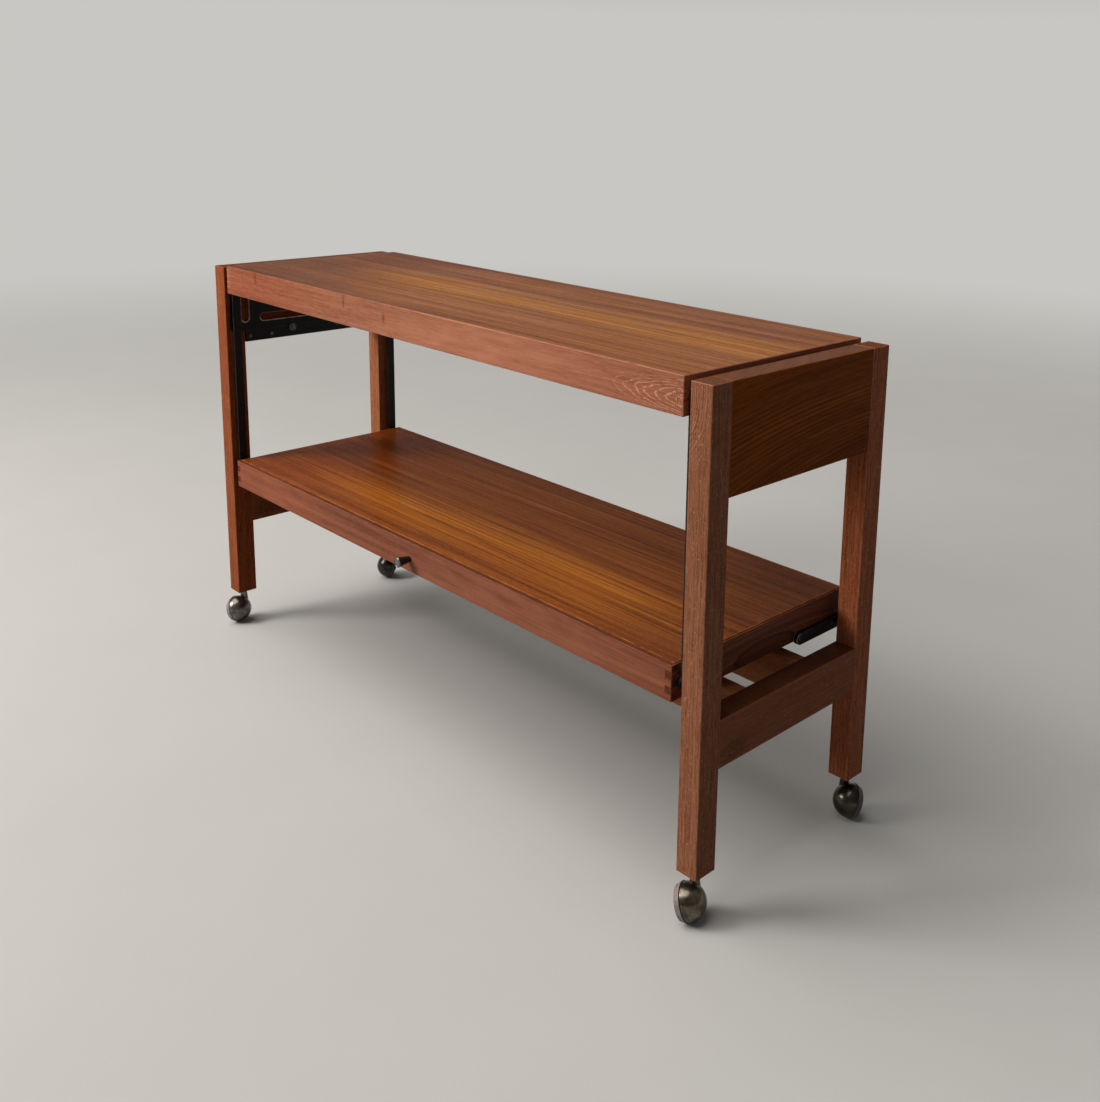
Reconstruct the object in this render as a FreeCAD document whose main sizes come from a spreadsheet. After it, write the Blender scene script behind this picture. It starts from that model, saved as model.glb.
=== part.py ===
"""Two-tier convertible tea trolley: a sliding top and a shelf leaf that swings up beside it."""
import FreeCAD, Part
import math
import os
import re
import Sketcher

# Sizes in millimetres and angles in degrees, each set by itself.
SIZES = {
    # frame
    "frame_length": 1259,
    "frame_depth": 370.5,
    "leg_width": 34.8,
    "leg_depth": 37.2,
    "leg_height": 654,
    "apron_height": 146.8,
    "stretcher_height": 68.2,
    "leaf_clearance": 16.7,
    "long_stretcher_height": 60,
    "long_stretcher_thickness": 21.6,
    "long_stretcher_pitch": 129.7,
    "long_stretcher_drop": 1.5,
    "edge_break": 0.8,
    "dowel_diameter": 10,
    "dowel_length": 40,
    "dowel_relief": 0.6,
    "apron_dowel_pitch": 46,
    "stretcher_dowel_pitch": 34,
    "long_dowel_diameter": 8,
    "long_dowel_length": 32,
    "long_dowel_pitch": 30,
    # the two framed tiers
    "tier_setback": 0.5,
    "tier_height": 51.5,
    "tier_parting": 7.5,
    "top_proud": 3.4,
    "rail_thickness": 10.5,
    "panel_thickness": 16,
    "panel_clearance": 0.1,
    "rail_lip": 3,
    "leaf_front_lip": 8,
    "leaf_lip_step": 1,
    # swing arms and their pivots
    "arm_width": 15,
    "arm_thickness": 3,
    "arm_play": 0.5,
    "layer_clearance": 0.2,
    "front_pivot_inset": 17,
    "rear_pivot_inset": 12,
    "rear_pivot_rise": 4.5,
    "pivot_diameter": 8,
    "pivot_clearance": 0.05,
    "open_pivot_clearance": 0.15,
    "collar_diameter": 13,
    "side_clearance": 0.3,
    "rivet_diameter": 6,
    "pivot_head_thickness": 1.3,
    "bracket_height": 17.5,
    "bracket_thickness": 7,
    "bracket_rear_reach": 95,
    "bracket_front_reach": 44,
    "bracket_screw_inset": 22,
    "bracket_screw_rise": 3,
    "bracket_screw_diameter": 4.5,
    "bracket_screw_head": 8,
    "bracket_screw_head_height": 2.4,
    "bracket_screw_length": 16,
    # sliding carriage plates and the guides on the end aprons
    "plate_offset": 1,
    "plate_thickness": 2.5,
    "plate_front_inset": 6.5,
    "plate_rear_inset": 4.5,
    "plate_top_drop": 14,
    "plate_corner": 8,
    "slot_height": 14,
    "slot_rise": 23.3,
    "catch_slot_width": 15,
    "catch_slot_rise": 17.3,
    "catch_slot_drop": 43,
    "stud_pitch": 56,
    "stud_end_inset": 12.5,
    "stud_clearance": 0.1,
    "stud_end_clearance": 0.5,
    "stud_head_diameter": 20,
    "stud_head_thickness": 2.4,
    "stud_tail_diameter": 6,
    "guide_height": 21.2,
    "guide_clearance": 0.3,
    "guide_screw_diameter": 4,
    "guide_screw_head": 7,
    "guide_screw_head_height": 1.8,
    "guide_screw_inset": 8,
    "guide_screw_pitch": 45,
    "button_diameter": 15,
    "button_thickness": 2.2,
    "button_tail_diameter": 6,
    "button_inset": 98,
    "spacer_diameter": 12,
    "spacer_inset": 44.5,
    "spacer_screw_diameter": 5,
    "spacer_screw_length": 20,
    "spacer_screw_head": 8,
    # pull knob
    "knob_diameter": 16.8,
    "knob_root_diameter": 9.4,
    "knob_length": 24,
    "knob_face_rim": 1.4,
    "knob_face_dish": 0.8,
    "knob_drop": 29.7,
    "knob_screw_diameter": 4,
    "knob_screw_length": 22,
    "knob_screw_head": 8,
    "knob_screw_head_height": 2.6,
    # ball casters with an inclined axle
    "caster_height": 62,
    "axle_tilt": 20,
    "tread_radius": 26,
    "tread_width": 8,
    "tread_wall": 5,
    "wheel_dome_depth": 6,
    "wheel_bevel": 1.2,
    "hood_gap": 1.4,
    "hood_inset": 0.8,
    "hood_depth": 26,
    "axle_diameter": 6,
    "axle_clearance": 0.05,
    "axle_web": 2.6,
    "wheel_offset": 7,
    "wheel_trail": 15,
    "neck_radius": 5.4,
    "neck_foot_radius": 8,
    "neck_foot_rise": 14,
    "neck_foot_taper": 9,
    "kingpin_diameter": 8,
    "kingpin_relief": 4,
    "kingpin_clearance": 0.05,
    "socket_diameter": 11,
    "socket_length": 38,
    "socket_flange_diameter": 18,
    "socket_flange_thickness": 1.5,
    "swivel_front_right": 27,
    "swivel_front_left": 31,
    "swivel_rear_right": 232,
    "swivel_rear_left": 244,
    # the outline's centre, which the casters draw away from the frame's
    "origin_shift_x": -10.6,
    "origin_shift_y": 11.6,
}

# Shares of the sizes they follow.
TOP_FINGER_SHARES = (0.26, 0.46, 0.66, 0.88)
LEAF_FINGER_SHARES = (0.2, 0.4, 0.6, 0.8)

doc = FreeCAD.newDocument("tea_trolley")
sheet = doc.addObject("Spreadsheet::Sheet", "sizes")
for row, (alias, number) in enumerate(SIZES.items(), start=1):
    sheet.set(f"A{row}", alias)
    sheet.set(f"B{row}", str(number))
    sheet.setAlias(f"B{row}", alias)
workings = doc.addObject("Spreadsheet::Sheet", "workings")
doc.recompute()

# Places and sizes that follow from the others, written with their names.
LEG_X = "((frame_length - leg_width) / 2)"
LEG_Y = "((frame_depth - leg_depth) / 2)"
INNER_X = "(frame_length / 2 - leg_width)"
INNER_Y = "(frame_depth / 2 - leg_depth)"
LEG_TOP = "(caster_height + leg_height)"
TOP_Z = f"({LEG_TOP} + top_proud)"
APRON_Z = f"({LEG_TOP} - apron_height)"
# The arms are as long as a tier is deep with the parting, so the raised leaf lies beside the top.
TIER_HALF = "(frame_depth / 2 - tier_setback)"
RISE = f"(2 * {TIER_HALF} + tier_parting)"
LEAF_Z = f"({TOP_Z} - {RISE})"
STRETCHER_Z = f"({LEAF_Z} - tier_height - leaf_clearance - stretcher_height)"
# Layers beside the inner faces of the aprons: plate, stud heads, pin heads, arms, brackets.
GUIDE_THICKNESS = "(plate_offset + plate_thickness + side_clearance)"
HEADS_INNER = f"({GUIDE_THICKNESS} + stud_head_thickness + layer_clearance)"
ARM_OUTER = f"({HEADS_INNER} + pivot_head_thickness + side_clearance)"
ARM_INNER = f"({ARM_OUTER} + arm_thickness)"
TOP_GAP = f"({ARM_INNER} + arm_play)"
BRACKET_OUTER = f"({ARM_INNER} + side_clearance)"
LEAF_GAP = f"({BRACKET_OUTER} + bracket_thickness)"
# Fixings in the aprons stop short of the dowels.
TAIL_DEPTH = "((leg_width - dowel_diameter) / 2 - dowel_relief)"
# The top slides half the arm's length, which centres the doubled table over the legs.
TRAVEL = f"({RISE} / 2)"
FRONT_PIVOT_Y = f"(front_pivot_inset - {TIER_HALF})"
REAR_PIVOT_Y = f"({TIER_HALF} - rear_pivot_inset)"
FRONT_DROP = "(tier_height / 2)"
REAR_DROP = "(tier_height - rear_pivot_rise)"
GUIDE_TOP = f"({APRON_Z} + guide_height)"
PLATE_FLOOR = f"({GUIDE_TOP} + guide_clearance)"
PLATE_TOP = f"({TOP_Z} - plate_top_drop)"
PLATE_FRONT = f"(plate_front_inset - {TIER_HALF})"
PLATE_REAR = f"({TIER_HALF} - plate_rear_inset)"
STUD_Z = f"({PLATE_FLOOR} + slot_rise)"
STUD_REAR_Y = f"({INNER_Y} - stud_end_inset)"
STUD_FRONT_Y = f"({STUD_REAR_Y} - stud_pitch)"
SLOT_REAR_Y = f"({STUD_REAR_Y} + stud_end_clearance)"
SLOT_FRONT_Y = f"({STUD_FRONT_Y} - {TRAVEL} - stud_end_clearance)"
CATCH_Y = f"(({PLATE_FRONT} + {SLOT_FRONT_Y} - slot_height / 2) / 2)"
AXLE_Z = "(tread_radius * cos(axle_tilt))"
NECK_TOP = "(caster_height - socket_flange_thickness - side_clearance)"

SIDES = {"left": "-1", "right": "1"}


def expr(text):
    """Point the named sizes in an expression at the sheet."""
    return re.sub(r"[a-z][a-z_]+", lambda word: sheet_name(word.group()), text)


def sheet_name(word):
    """Give a size its place in the sheet and leave functions alone."""
    return f"sizes.{word}" if word in SIZES else word


def value(text):
    """Work out an expression of named sizes."""
    workings.set("A1", f"={expr(text)}")
    workings.recompute()
    return float(workings.get("A1"))


def new_body(label, x="0", y="0", z="0", turn="0"):
    """Start a sub-part whose own frame sits at a place, turned about the vertical."""
    body = doc.addObject("PartDesign::Body", label)
    body.Label = label
    seat(body, x, y, z)
    if turn != "0":
        body.Placement.Rotation = FreeCAD.Rotation(FreeCAD.Vector(0, 0, 1), value(turn))
        body.setExpression("Placement.Rotation.Angle", expr(turn))
    return body


def seat(piece, x, y, z):
    """Bind a piece's place, with the outline's centre at the origin."""
    piece.setExpression("Placement.Base.x", expr(f"{x} + origin_shift_x"))
    piece.setExpression("Placement.Base.y", expr(f"{y} + origin_shift_y"))
    piece.setExpression("Placement.Base.z", expr(z))


def new_sketch(body, role, lift="0"):
    """Start a sketch on one of the body's own planes, lifted along its normal."""
    plane = next(item for item in body.Origin.OriginFeatures if item.Role == role)
    sketch = body.newObject("Sketcher::SketchObject", f"{body.Name}_sketch")
    sketch.AttachmentSupport = [(plane, "")]
    sketch.MapMode = "FlatFace"
    if lift != "0":
        sketch.setExpression("AttachmentOffset.Base.z", expr(lift))
    return sketch


def pin_point(sketch, geometry, point, x, y):
    """Tie a point of a sketch to a place given by two expressions."""
    for kind, axis, text in (("DistanceX", -2, x), ("DistanceY", -1, y)):
        if text == "0":
            sketch.addConstraint(Sketcher.Constraint("PointOnObject", geometry, point, axis))
            continue
        index = sketch.addConstraint(Sketcher.Constraint(kind, -1, 1, geometry, point, value(text)))
        sketch.setExpression(f"Constraints[{index}]", expr(text))


def draw(sketch, points, round_steps=()):
    """Draw a closed outline; the steps listed are arcs centred on the sketch's own x axis."""
    spots = [FreeCAD.Vector(value(x), value(y), 0) for x, y in points]
    first = sketch.GeometryCount
    ends = []
    for step, start in enumerate(spots):
        finish = spots[(step + 1) % len(spots)]
        if step in round_steps:
            ends.append(add_arc(sketch, start, finish))
        else:
            sketch.addGeometry(Part.LineSegment(start, finish), False)
            ends.append((1, 2))
    for step in range(len(spots)):
        after = (step + 1) % len(spots)
        joint = (first + step, ends[step][1], first + after, ends[after][0])
        sketch.addConstraint(Sketcher.Constraint("Coincident", *joint))
        pin_point(sketch, first + step, ends[step][0], *points[step])
        if step in round_steps:
            sketch.addConstraint(Sketcher.Constraint("PointOnObject", first + step, 3, -1))


def add_arc(sketch, start, finish):
    """Add an arc about a point of the x axis and tell which of its ends comes first."""
    across = finish.x - start.x
    centre_x = (finish.x ** 2 + finish.y ** 2 - start.x ** 2 - start.y ** 2) / (2 * across)
    centre = FreeCAD.Vector(centre_x, 0, 0)
    begin = math.atan2(start.y, start.x - centre_x)
    end = math.atan2(finish.y, finish.x - centre_x)
    circle = Part.Circle(centre, FreeCAD.Vector(0, 0, 1), start.distanceToPoint(centre))
    if begin < end:
        sketch.addGeometry(Part.ArcOfCircle(circle, begin, end), False)
        return (1, 2)
    sketch.addGeometry(Part.ArcOfCircle(circle, end, begin), False)
    return (2, 1)


def draw_box(sketch, x0, x1, y0, y1):
    """Draw a rectangle between two pairs of edges."""
    draw(sketch, [(x0, y0), (x1, y0), (x1, y1), (x0, y1)])


def draw_circle(sketch, x, y, radius):
    """Draw a circle about a place."""
    centre = FreeCAD.Vector(value(x), value(y), 0)
    circle = Part.Circle(centre, FreeCAD.Vector(0, 0, 1), value(radius))
    geometry = sketch.addGeometry(circle, False)
    pin_point(sketch, geometry, 3, x, y)
    index = sketch.addConstraint(Sketcher.Constraint("Radius", geometry, value(radius)))
    sketch.setExpression(f"Constraints[{index}]", expr(radius))


def draw_slot(sketch, start, finish, radius):
    """Draw a slot with round ends about two places, along x or along y."""
    ends = [FreeCAD.Vector(value(x), value(y), 0) for x, y in (start, finish)]
    size = value(radius)
    along = math.atan2(ends[1].y - ends[0].y, ends[1].x - ends[0].x)
    normal = FreeCAD.Vector(0, 0, 1)
    quarter = math.pi / 2
    first = sketch.GeometryCount
    for centre, lean in ((ends[0], along + quarter), (ends[1], along - quarter)):
        arc = Part.ArcOfCircle(Part.Circle(centre, normal, size), lean, lean + 2 * quarter)
        sketch.addGeometry(arc, False)
    arcs = [sketch.Geometry[first], sketch.Geometry[first + 1]]
    sketch.addGeometry(Part.LineSegment(arcs[0].EndPoint, arcs[1].StartPoint), False)
    sketch.addGeometry(Part.LineSegment(arcs[1].EndPoint, arcs[0].StartPoint), False)
    for joint in ((0, 2, 2, 1), (2, 2, 1, 1), (1, 2, 3, 1), (3, 2, 0, 1)):
        places = (first + joint[0], joint[1], first + joint[2], joint[3])
        sketch.addConstraint(Sketcher.Constraint("Tangent", *places))
    pin_point(sketch, first, 3, *start)
    pin_point(sketch, first + 1, 3, *finish)
    index = sketch.addConstraint(Sketcher.Constraint("Radius", first, size))
    sketch.setExpression(f"Constraints[{index}]", expr(radius))


def pad(body, sketch, length):
    """Raise a sketch along its normal."""
    feature = body.newObject("PartDesign::Pad", f"{body.Name}_pad")
    feature.Profile = sketch
    feature.setExpression("Length", expr(length))
    return feature


def pocket(body, sketch, length, along_normal):
    """Cut a sketch into the body, along its normal or against it."""
    feature = body.newObject("PartDesign::Pocket", f"{body.Name}_pocket")
    feature.Profile = sketch
    feature.Reversed = along_normal
    feature.setExpression("Length", expr(length))
    return feature


def revolve(body, sketch):
    """Turn a sketch about its own x axis."""
    feature = body.newObject("PartDesign::Revolution", f"{body.Name}_turned")
    feature.Profile = sketch
    feature.ReferenceAxis = (sketch, ["H_Axis"])
    return feature


def break_edges(body, base, size):
    """Take the sharpness off every edge of a feature."""
    doc.recompute()
    feature = body.newObject("PartDesign::Chamfer", f"{body.Name}_edges")
    feature.Base = (base, ["Edge1"])
    feature.UseAllEdges = True
    feature.setExpression("Size", expr(size))
    return feature


def mirrored_range(side, low, high):
    """Give a stretch along x on one side of the trolley, lowest first."""
    if side == "right":
        return low, high
    return f"(-1 * {high})", f"(-1 * {low})"


def bored(label, outer, inner, length):
    """Turn a plain tube along x for use in a group."""
    sketch = doc.addObject("Sketcher::SketchObject", f"{label}_profile")
    draw(sketch, [("0", inner), (length, inner), (length, outer), ("0", outer)])
    return spun(label, sketch)


def turned(label, steps):
    """Turn a stepped pin along x from pairs of end and radius, for use in a group."""
    sketch = doc.addObject("Sketcher::SketchObject", f"{label}_profile")
    points = [("0", "0")]
    place = "0"
    for end, radius in steps:
        points.append((place, radius))
        points.append((end, radius))
        place = end
    points.append((place, "0"))
    draw(sketch, points)
    return spun(label, sketch)


def spun(label, sketch):
    """Revolve a free sketch about the x axis."""
    piece = doc.addObject("Part::Revolution", f"{label}_pattern")
    piece.Source = sketch
    piece.Axis = FreeCAD.Vector(1, 0, 0)
    piece.Solid = True
    return piece


def group(label, pattern, places):
    """Set copies of one fastener at their places as one sub-part of separate solids."""
    copies = []
    for number, (x, y, z, axis, angle) in enumerate(places):
        copy = doc.addObject("App::Link", f"{label}_{number}")
        copy.LinkedObject = pattern
        copy.LinkTransform = True
        copy.Placement.Rotation = FreeCAD.Rotation(FreeCAD.Vector(*axis), angle)
        seat(copy, x, y, z)
        copies.append(copy)
    joined = doc.addObject("Part::Compound", label)
    joined.Label = label
    joined.Links = copies
    return joined


def outward(side):
    """Turn a fastener drawn along +x so that it points to the outside of one end."""
    return ((0, 0, 1), 0) if side == "right" else ((0, 0, 1), 180)


# Four legs, each with dowel holes facing its partner and a hole for the caster's socket.
def make_leg(label, x, y, turn):
    leg = new_body(label, x, y, "caster_height", turn)
    outline = new_sketch(leg, "XY_Plane")
    draw_box(outline, "(-leg_width / 2)", "(leg_width / 2)", "(-leg_depth / 2)", "(leg_depth / 2)")
    break_edges(leg, pad(leg, outline, "leg_height"), "edge_break")
    holes = new_sketch(leg, "XZ_Plane", "(-leg_depth / 2)")
    stretcher_middle = f"{STRETCHER_Z} - caster_height + stretcher_height / 2"
    for height in dowel_heights("leg_height - apron_height / 2", stretcher_middle):
        draw_circle(holes, "0", height, "(dowel_diameter / 2)")
    pocket(leg, holes, "dowel_length / 2 + dowel_relief", True)
    mouth = new_sketch(leg, "XY_Plane")
    draw_circle(mouth, "0", "0", "(socket_diameter / 2)")
    pocket(leg, mouth, "socket_length", True)
    return leg


def dowel_heights(apron_middle, stretcher_middle):
    """List the heights of the dowels in one leg."""
    heights = [f"({apron_middle} + {step} * apron_dowel_pitch)" for step in (-1, 0, 1)]
    heights += [f"({stretcher_middle} + {step} * stretcher_dowel_pitch / 2)" for step in (-1, 1)]
    return heights


make_leg("leg_front_left", f"-{LEG_X}", f"-{LEG_Y}", "0")
make_leg("leg_front_right", LEG_X, f"-{LEG_Y}", "0")
make_leg("leg_rear_left", f"-{LEG_X}", LEG_Y, "180")
make_leg("leg_rear_right", LEG_X, LEG_Y, "180")


# End boards between the legs: the deep apron at the top and the stretcher below.
def make_end_board(label, side, floor, height, dowels):
    board = new_body(label)
    outline = new_sketch(board, "XY_Plane", floor)
    low, high = mirrored_range(side, INNER_X, "(frame_length / 2)")
    draw_box(outline, low, high, f"(-1 * {INNER_Y})", INNER_Y)
    break_edges(board, pad(board, outline, height), "edge_break")
    for lift, along_normal in ((f"-{INNER_Y}", True), (INNER_Y, False)):
        holes = new_sketch(board, "XZ_Plane", lift)
        for dowel in dowels:
            draw_circle(holes, f"({SIDES[side]} * {LEG_X})", dowel, "(dowel_diameter / 2)")
        pocket(board, holes, "dowel_length / 2 + dowel_relief", along_normal)
    return board


def inner_holes(board, side, places, radius, depth):
    """Bore an end board from its inner face."""
    holes = new_sketch(board, "YZ_Plane", f"{SIDES[side]} * {INNER_X}")
    for y, z in places:
        draw_circle(holes, y, z, radius)
    pocket(board, holes, depth, side == "right")


ALL_HEIGHTS = dowel_heights(f"{LEG_TOP} - apron_height / 2", f"{STRETCHER_Z} + stretcher_height / 2")
GUIDE_SCREW_Z = f"({APRON_Z} + guide_height / 2)"
GUIDE_SCREW_OUTER = f"({INNER_Y} - guide_screw_inset)"
GUIDE_SCREW_INNER = f"({GUIDE_SCREW_OUTER} - guide_screw_pitch)"
GUIDE_SCREW_Y = [f"({sign} * {y})" for y in (GUIDE_SCREW_INNER, GUIDE_SCREW_OUTER) for sign in SIDES.values()]
BUTTON_Z = f"({GUIDE_TOP} - button_tail_diameter / 2 - guide_clearance)"
BUTTON_Y = (f"(button_inset - {INNER_Y})", f"({INNER_Y} - button_inset)")
LONG_TOP = f"({STRETCHER_Z} + stretcher_height - long_stretcher_drop)"
LONG_MIDDLE = f"({LONG_TOP} - long_stretcher_height / 2)"
LONG_Y = {"front": "(-long_stretcher_pitch / 2)", "rear": "(long_stretcher_pitch / 2)"}
LONG_DOWEL_Z = [f"({LONG_MIDDLE} + {sign} * long_dowel_pitch / 2)" for sign in SIDES.values()]
for end in SIDES:
    apron = make_end_board(f"apron_{end}", end, APRON_Z, "apron_height", ALL_HEIGHTS[:3])
    guide_screws = [(y, GUIDE_SCREW_Z) for y in GUIDE_SCREW_Y]
    inner_holes(apron, end, guide_screws, "(guide_screw_diameter / 2)", TAIL_DEPTH)
    buttons = [(y, BUTTON_Z) for y in BUTTON_Y]
    inner_holes(apron, end, buttons, "(button_tail_diameter / 2)", TAIL_DEPTH)
    studs = [(y, STUD_Z) for y in (STUD_FRONT_Y, STUD_REAR_Y)]
    inner_holes(apron, end, studs, "(stud_tail_diameter / 2)", TAIL_DEPTH)
    stretcher = make_end_board(f"stretcher_{end}", end, STRETCHER_Z, "stretcher_height", ALL_HEIGHTS[3:])
    pegs = [(y, z) for y in LONG_Y.values() for z in LONG_DOWEL_Z]
    inner_holes(stretcher, end, pegs, "(long_dowel_diameter / 2)", "long_dowel_length / 2 + dowel_relief")

# Two long stretchers on edge that tie the ends together under the leaf.
for row, middle in LONG_Y.items():
    long_stretcher = new_body(f"long_stretcher_{row}")
    outline = new_sketch(long_stretcher, "XY_Plane", f"{LONG_TOP} - long_stretcher_height")
    near = f"({middle} - long_stretcher_thickness / 2)"
    far = f"({middle} + long_stretcher_thickness / 2)"
    draw_box(outline, f"(-1 * {INNER_X})", INNER_X, near, far)
    break_edges(long_stretcher, pad(long_stretcher, outline, "long_stretcher_height"), "edge_break")
    for lift, along_normal in ((f"-{INNER_X}", True), (INNER_X, False)):
        holes = new_sketch(long_stretcher, "YZ_Plane", lift)
        for z in LONG_DOWEL_Z:
            draw_circle(holes, middle, z, "(long_dowel_diameter / 2)")
        pocket(long_stretcher, holes, "long_dowel_length / 2 + dowel_relief", along_normal)

# Dowels hidden in the frame's joints.
frame_dowel = turned("frame_dowel", [("dowel_length", "(dowel_diameter / 2)")])
frame_dowel_places = []
for x in (f"-{LEG_X}", LEG_X):
    for y in (f"(-1 * {INNER_Y} - dowel_length / 2)", f"({INNER_Y} - dowel_length / 2)"):
        frame_dowel_places += [(x, y, z, (0, 0, 1), 90) for z in ALL_HEIGHTS]
group("frame_dowels", frame_dowel, frame_dowel_places)
long_dowel = turned("long_dowel", [("long_dowel_length", "(long_dowel_diameter / 2)")])
long_dowel_places = []
for x in (f"(-1 * {INNER_X} - long_dowel_length / 2)", f"({INNER_X} - long_dowel_length / 2)"):
    long_dowel_places += [(x, y, z, (0, 0, 1), 0) for y in LONG_Y.values() for z in LONG_DOWEL_Z]
group("long_dowels", long_dowel, long_dowel_places)


# Guides on the inner faces of the aprons: a bar that the carriage plate rides on, and its fixings.
def make_guide(side):
    guide = new_body(f"guide_bar_{side}")
    low, _ = mirrored_range(side, f"({INNER_X} - {GUIDE_THICKNESS})", INNER_X)
    outline = new_sketch(guide, "YZ_Plane", low)
    draw_box(outline, f"(-1 * {INNER_Y})", INNER_Y, APRON_Z, GUIDE_TOP)
    for y in GUIDE_SCREW_Y:
        draw_circle(outline, y, GUIDE_SCREW_Z, "(guide_screw_diameter / 2)")
    for y in BUTTON_Y:
        draw_circle(outline, y, BUTTON_Z, "(button_tail_diameter / 2)")
    pad(guide, outline, GUIDE_THICKNESS)


for end in SIDES:
    make_guide(end)


def on_aprons(reach, spots):
    """Set fasteners in both aprons, pointing outwards, with their heads inside by a reach."""
    places = []
    for side, sign in SIDES.items():
        axis, angle = outward(side)
        places += [(f"{sign} * ({INNER_X} - {reach})", y, z, axis, angle) for y, z in spots]
    return places


guide_screw = turned("guide_screw", [
    ("guide_screw_head_height", "(guide_screw_head / 2)"),
    (f"(guide_screw_head_height + {GUIDE_THICKNESS} + {TAIL_DEPTH})", "(guide_screw_diameter / 2)"),
])
group("guide_screws", guide_screw, on_aprons(
    f"({GUIDE_THICKNESS} + guide_screw_head_height)", [(y, GUIDE_SCREW_Z) for y in GUIDE_SCREW_Y]))
button = turned("button", [
    ("button_thickness", "(button_diameter / 2)"),
    (f"(button_thickness + {GUIDE_THICKNESS} + {TAIL_DEPTH})", "(button_tail_diameter / 2)"),
])
group("guide_buttons", button, on_aprons(
    f"({GUIDE_THICKNESS} + button_thickness)", [(y, BUTTON_Z) for y in BUTTON_Y]))
stud = turned("stud", [
    ("stud_head_thickness", "(stud_head_diameter / 2)"),
    (f"(stud_head_thickness + {GUIDE_THICKNESS})", "(slot_height / 2 - stud_clearance)"),
    (f"(stud_head_thickness + {GUIDE_THICKNESS} + {TAIL_DEPTH})", "(stud_tail_diameter / 2)"),
])
group("guide_studs", stud, on_aprons(
    f"({GUIDE_THICKNESS} + stud_head_thickness)", [(y, STUD_Z) for y in (STUD_FRONT_Y, STUD_REAR_Y)]))


# A framed tier: a panel let into four finger-jointed rails.
def make_tier(name, half_length, surface, front_lip, lip_step, shares):
    floor = f"({surface} - tier_height)"
    seat_z = f"({surface} - panel_thickness)"
    panel = new_body(f"{name}_panel")
    outline = new_sketch(panel, "XY_Plane", seat_z)
    edge_x = f"({half_length} - rail_lip - panel_clearance)"
    edge_front = f"({front_lip} + panel_clearance - {TIER_HALF})"
    edge_rear = f"({TIER_HALF} - rail_lip - panel_clearance)"
    draw_box(outline, f"(-1 * {edge_x})", edge_x, edge_front, edge_rear)
    pad(panel, outline, "panel_thickness")
    rails = {}
    for side, low, high in (
            ("front", f"(-1 * {TIER_HALF})", f"(rail_thickness - {TIER_HALF})"),
            ("rear", f"({TIER_HALF} - rail_thickness)", TIER_HALF)):
        rail = new_body(f"{name}_rail_{side}")
        outline = new_sketch(rail, "XY_Plane", floor)
        draw_box(outline, f"(-1 * {half_length})", half_length, low, high)
        break_edges(rail, pad(rail, outline, "tier_height"), "edge_break")
        cut_rebate(rail, half_length, front_lip, seat_z)
        cut_fingers(rail, half_length, floor, low, shares[0::2], shares[1::2])
        cut_step(rail, half_length, surface, lip_step)
        rails[side] = rail
    for side in SIDES:
        rail = new_body(f"{name}_rail_{side}")
        outline = new_sketch(rail, "XY_Plane", floor)
        low, high = mirrored_range(side, f"({half_length} - rail_thickness)", half_length)
        draw_box(outline, low, high, f"(-1 * {TIER_HALF})", TIER_HALF)
        break_edges(rail, pad(rail, outline, "tier_height"), "edge_break")
        cut_rebate(rail, half_length, front_lip, seat_z)
        for edge in (f"(-1 * {TIER_HALF})", f"({TIER_HALF} - rail_thickness)"):
            gaps = new_sketch(rail, "XZ_Plane", f"-1 * ({edge} + rail_thickness)")
            levels = ["0", *shares, "1"]
            for start, stop in zip(levels[0::2], levels[1::2]):
                bottom = f"({floor} + {start} * tier_height)"
                draw_box(gaps, low, high, bottom, f"({floor} + {stop} * tier_height)")
            pocket(rail, gaps, "rail_thickness", True)
        cut_step(rail, half_length, surface, lip_step)
        rails[side] = rail
    return panel, rails


def cut_rebate(rail, half_length, front_lip, seat_z):
    """Cut the seat of the panel out of a rail's upper inner edge."""
    seat_cut = new_sketch(rail, "XY_Plane", seat_z)
    edge_x = f"({half_length} - rail_lip)"
    edge_front = f"({front_lip} - {TIER_HALF})"
    draw_box(seat_cut, f"(-1 * {edge_x})", edge_x, edge_front, f"({TIER_HALF} - rail_lip)")
    pocket(rail, seat_cut, "panel_thickness", True)


def cut_fingers(rail, half_length, floor, low, starts, stops):
    """Notch both ends of a long rail for the fingers of the end rails."""
    notches = new_sketch(rail, "XZ_Plane", f"-1 * ({low} + rail_thickness)")
    for side in SIDES:
        left, right = mirrored_range(side, f"({half_length} - rail_thickness)", half_length)
        for start, stop in zip(starts, stops):
            bottom = f"({floor} + {start} * tier_height)"
            draw_box(notches, left, right, bottom, f"({floor} + {stop} * tier_height)")
    pocket(rail, notches, "rail_thickness", True)


def cut_step(rail, half_length, surface, lip_step):
    """Lower the lip of a rail below the panel where the tier has a step there."""
    if lip_step == "0":
        return
    step = new_sketch(rail, "XY_Plane", f"{surface} - {lip_step}")
    draw_box(step, f"(-1 * {half_length})", half_length, f"(-1 * {TIER_HALF})", TIER_HALF)
    pocket(rail, step, lip_step, True)


TOP_HALF = f"({INNER_X} - {TOP_GAP})"
LEAF_HALF = f"({INNER_X} - {LEAF_GAP})"
top_panel, top_rails = make_tier("top", TOP_HALF, TOP_Z, "rail_lip", "0", TOP_FINGER_SHARES)
leaf_panel, leaf_rails = make_tier(
    "leaf", LEAF_HALF, LEAF_Z, "leaf_front_lip", "leaf_lip_step", LEAF_FINGER_SHARES)


def end_holes(rail, side, half_length, places, radius, depth):
    """Bore an end rail from its outer face."""
    holes = new_sketch(rail, "YZ_Plane", f"{SIDES[side]} * {half_length}")
    for y, z in places:
        draw_circle(holes, y, z, radius)
    pocket(rail, holes, depth, side == "left")


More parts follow.
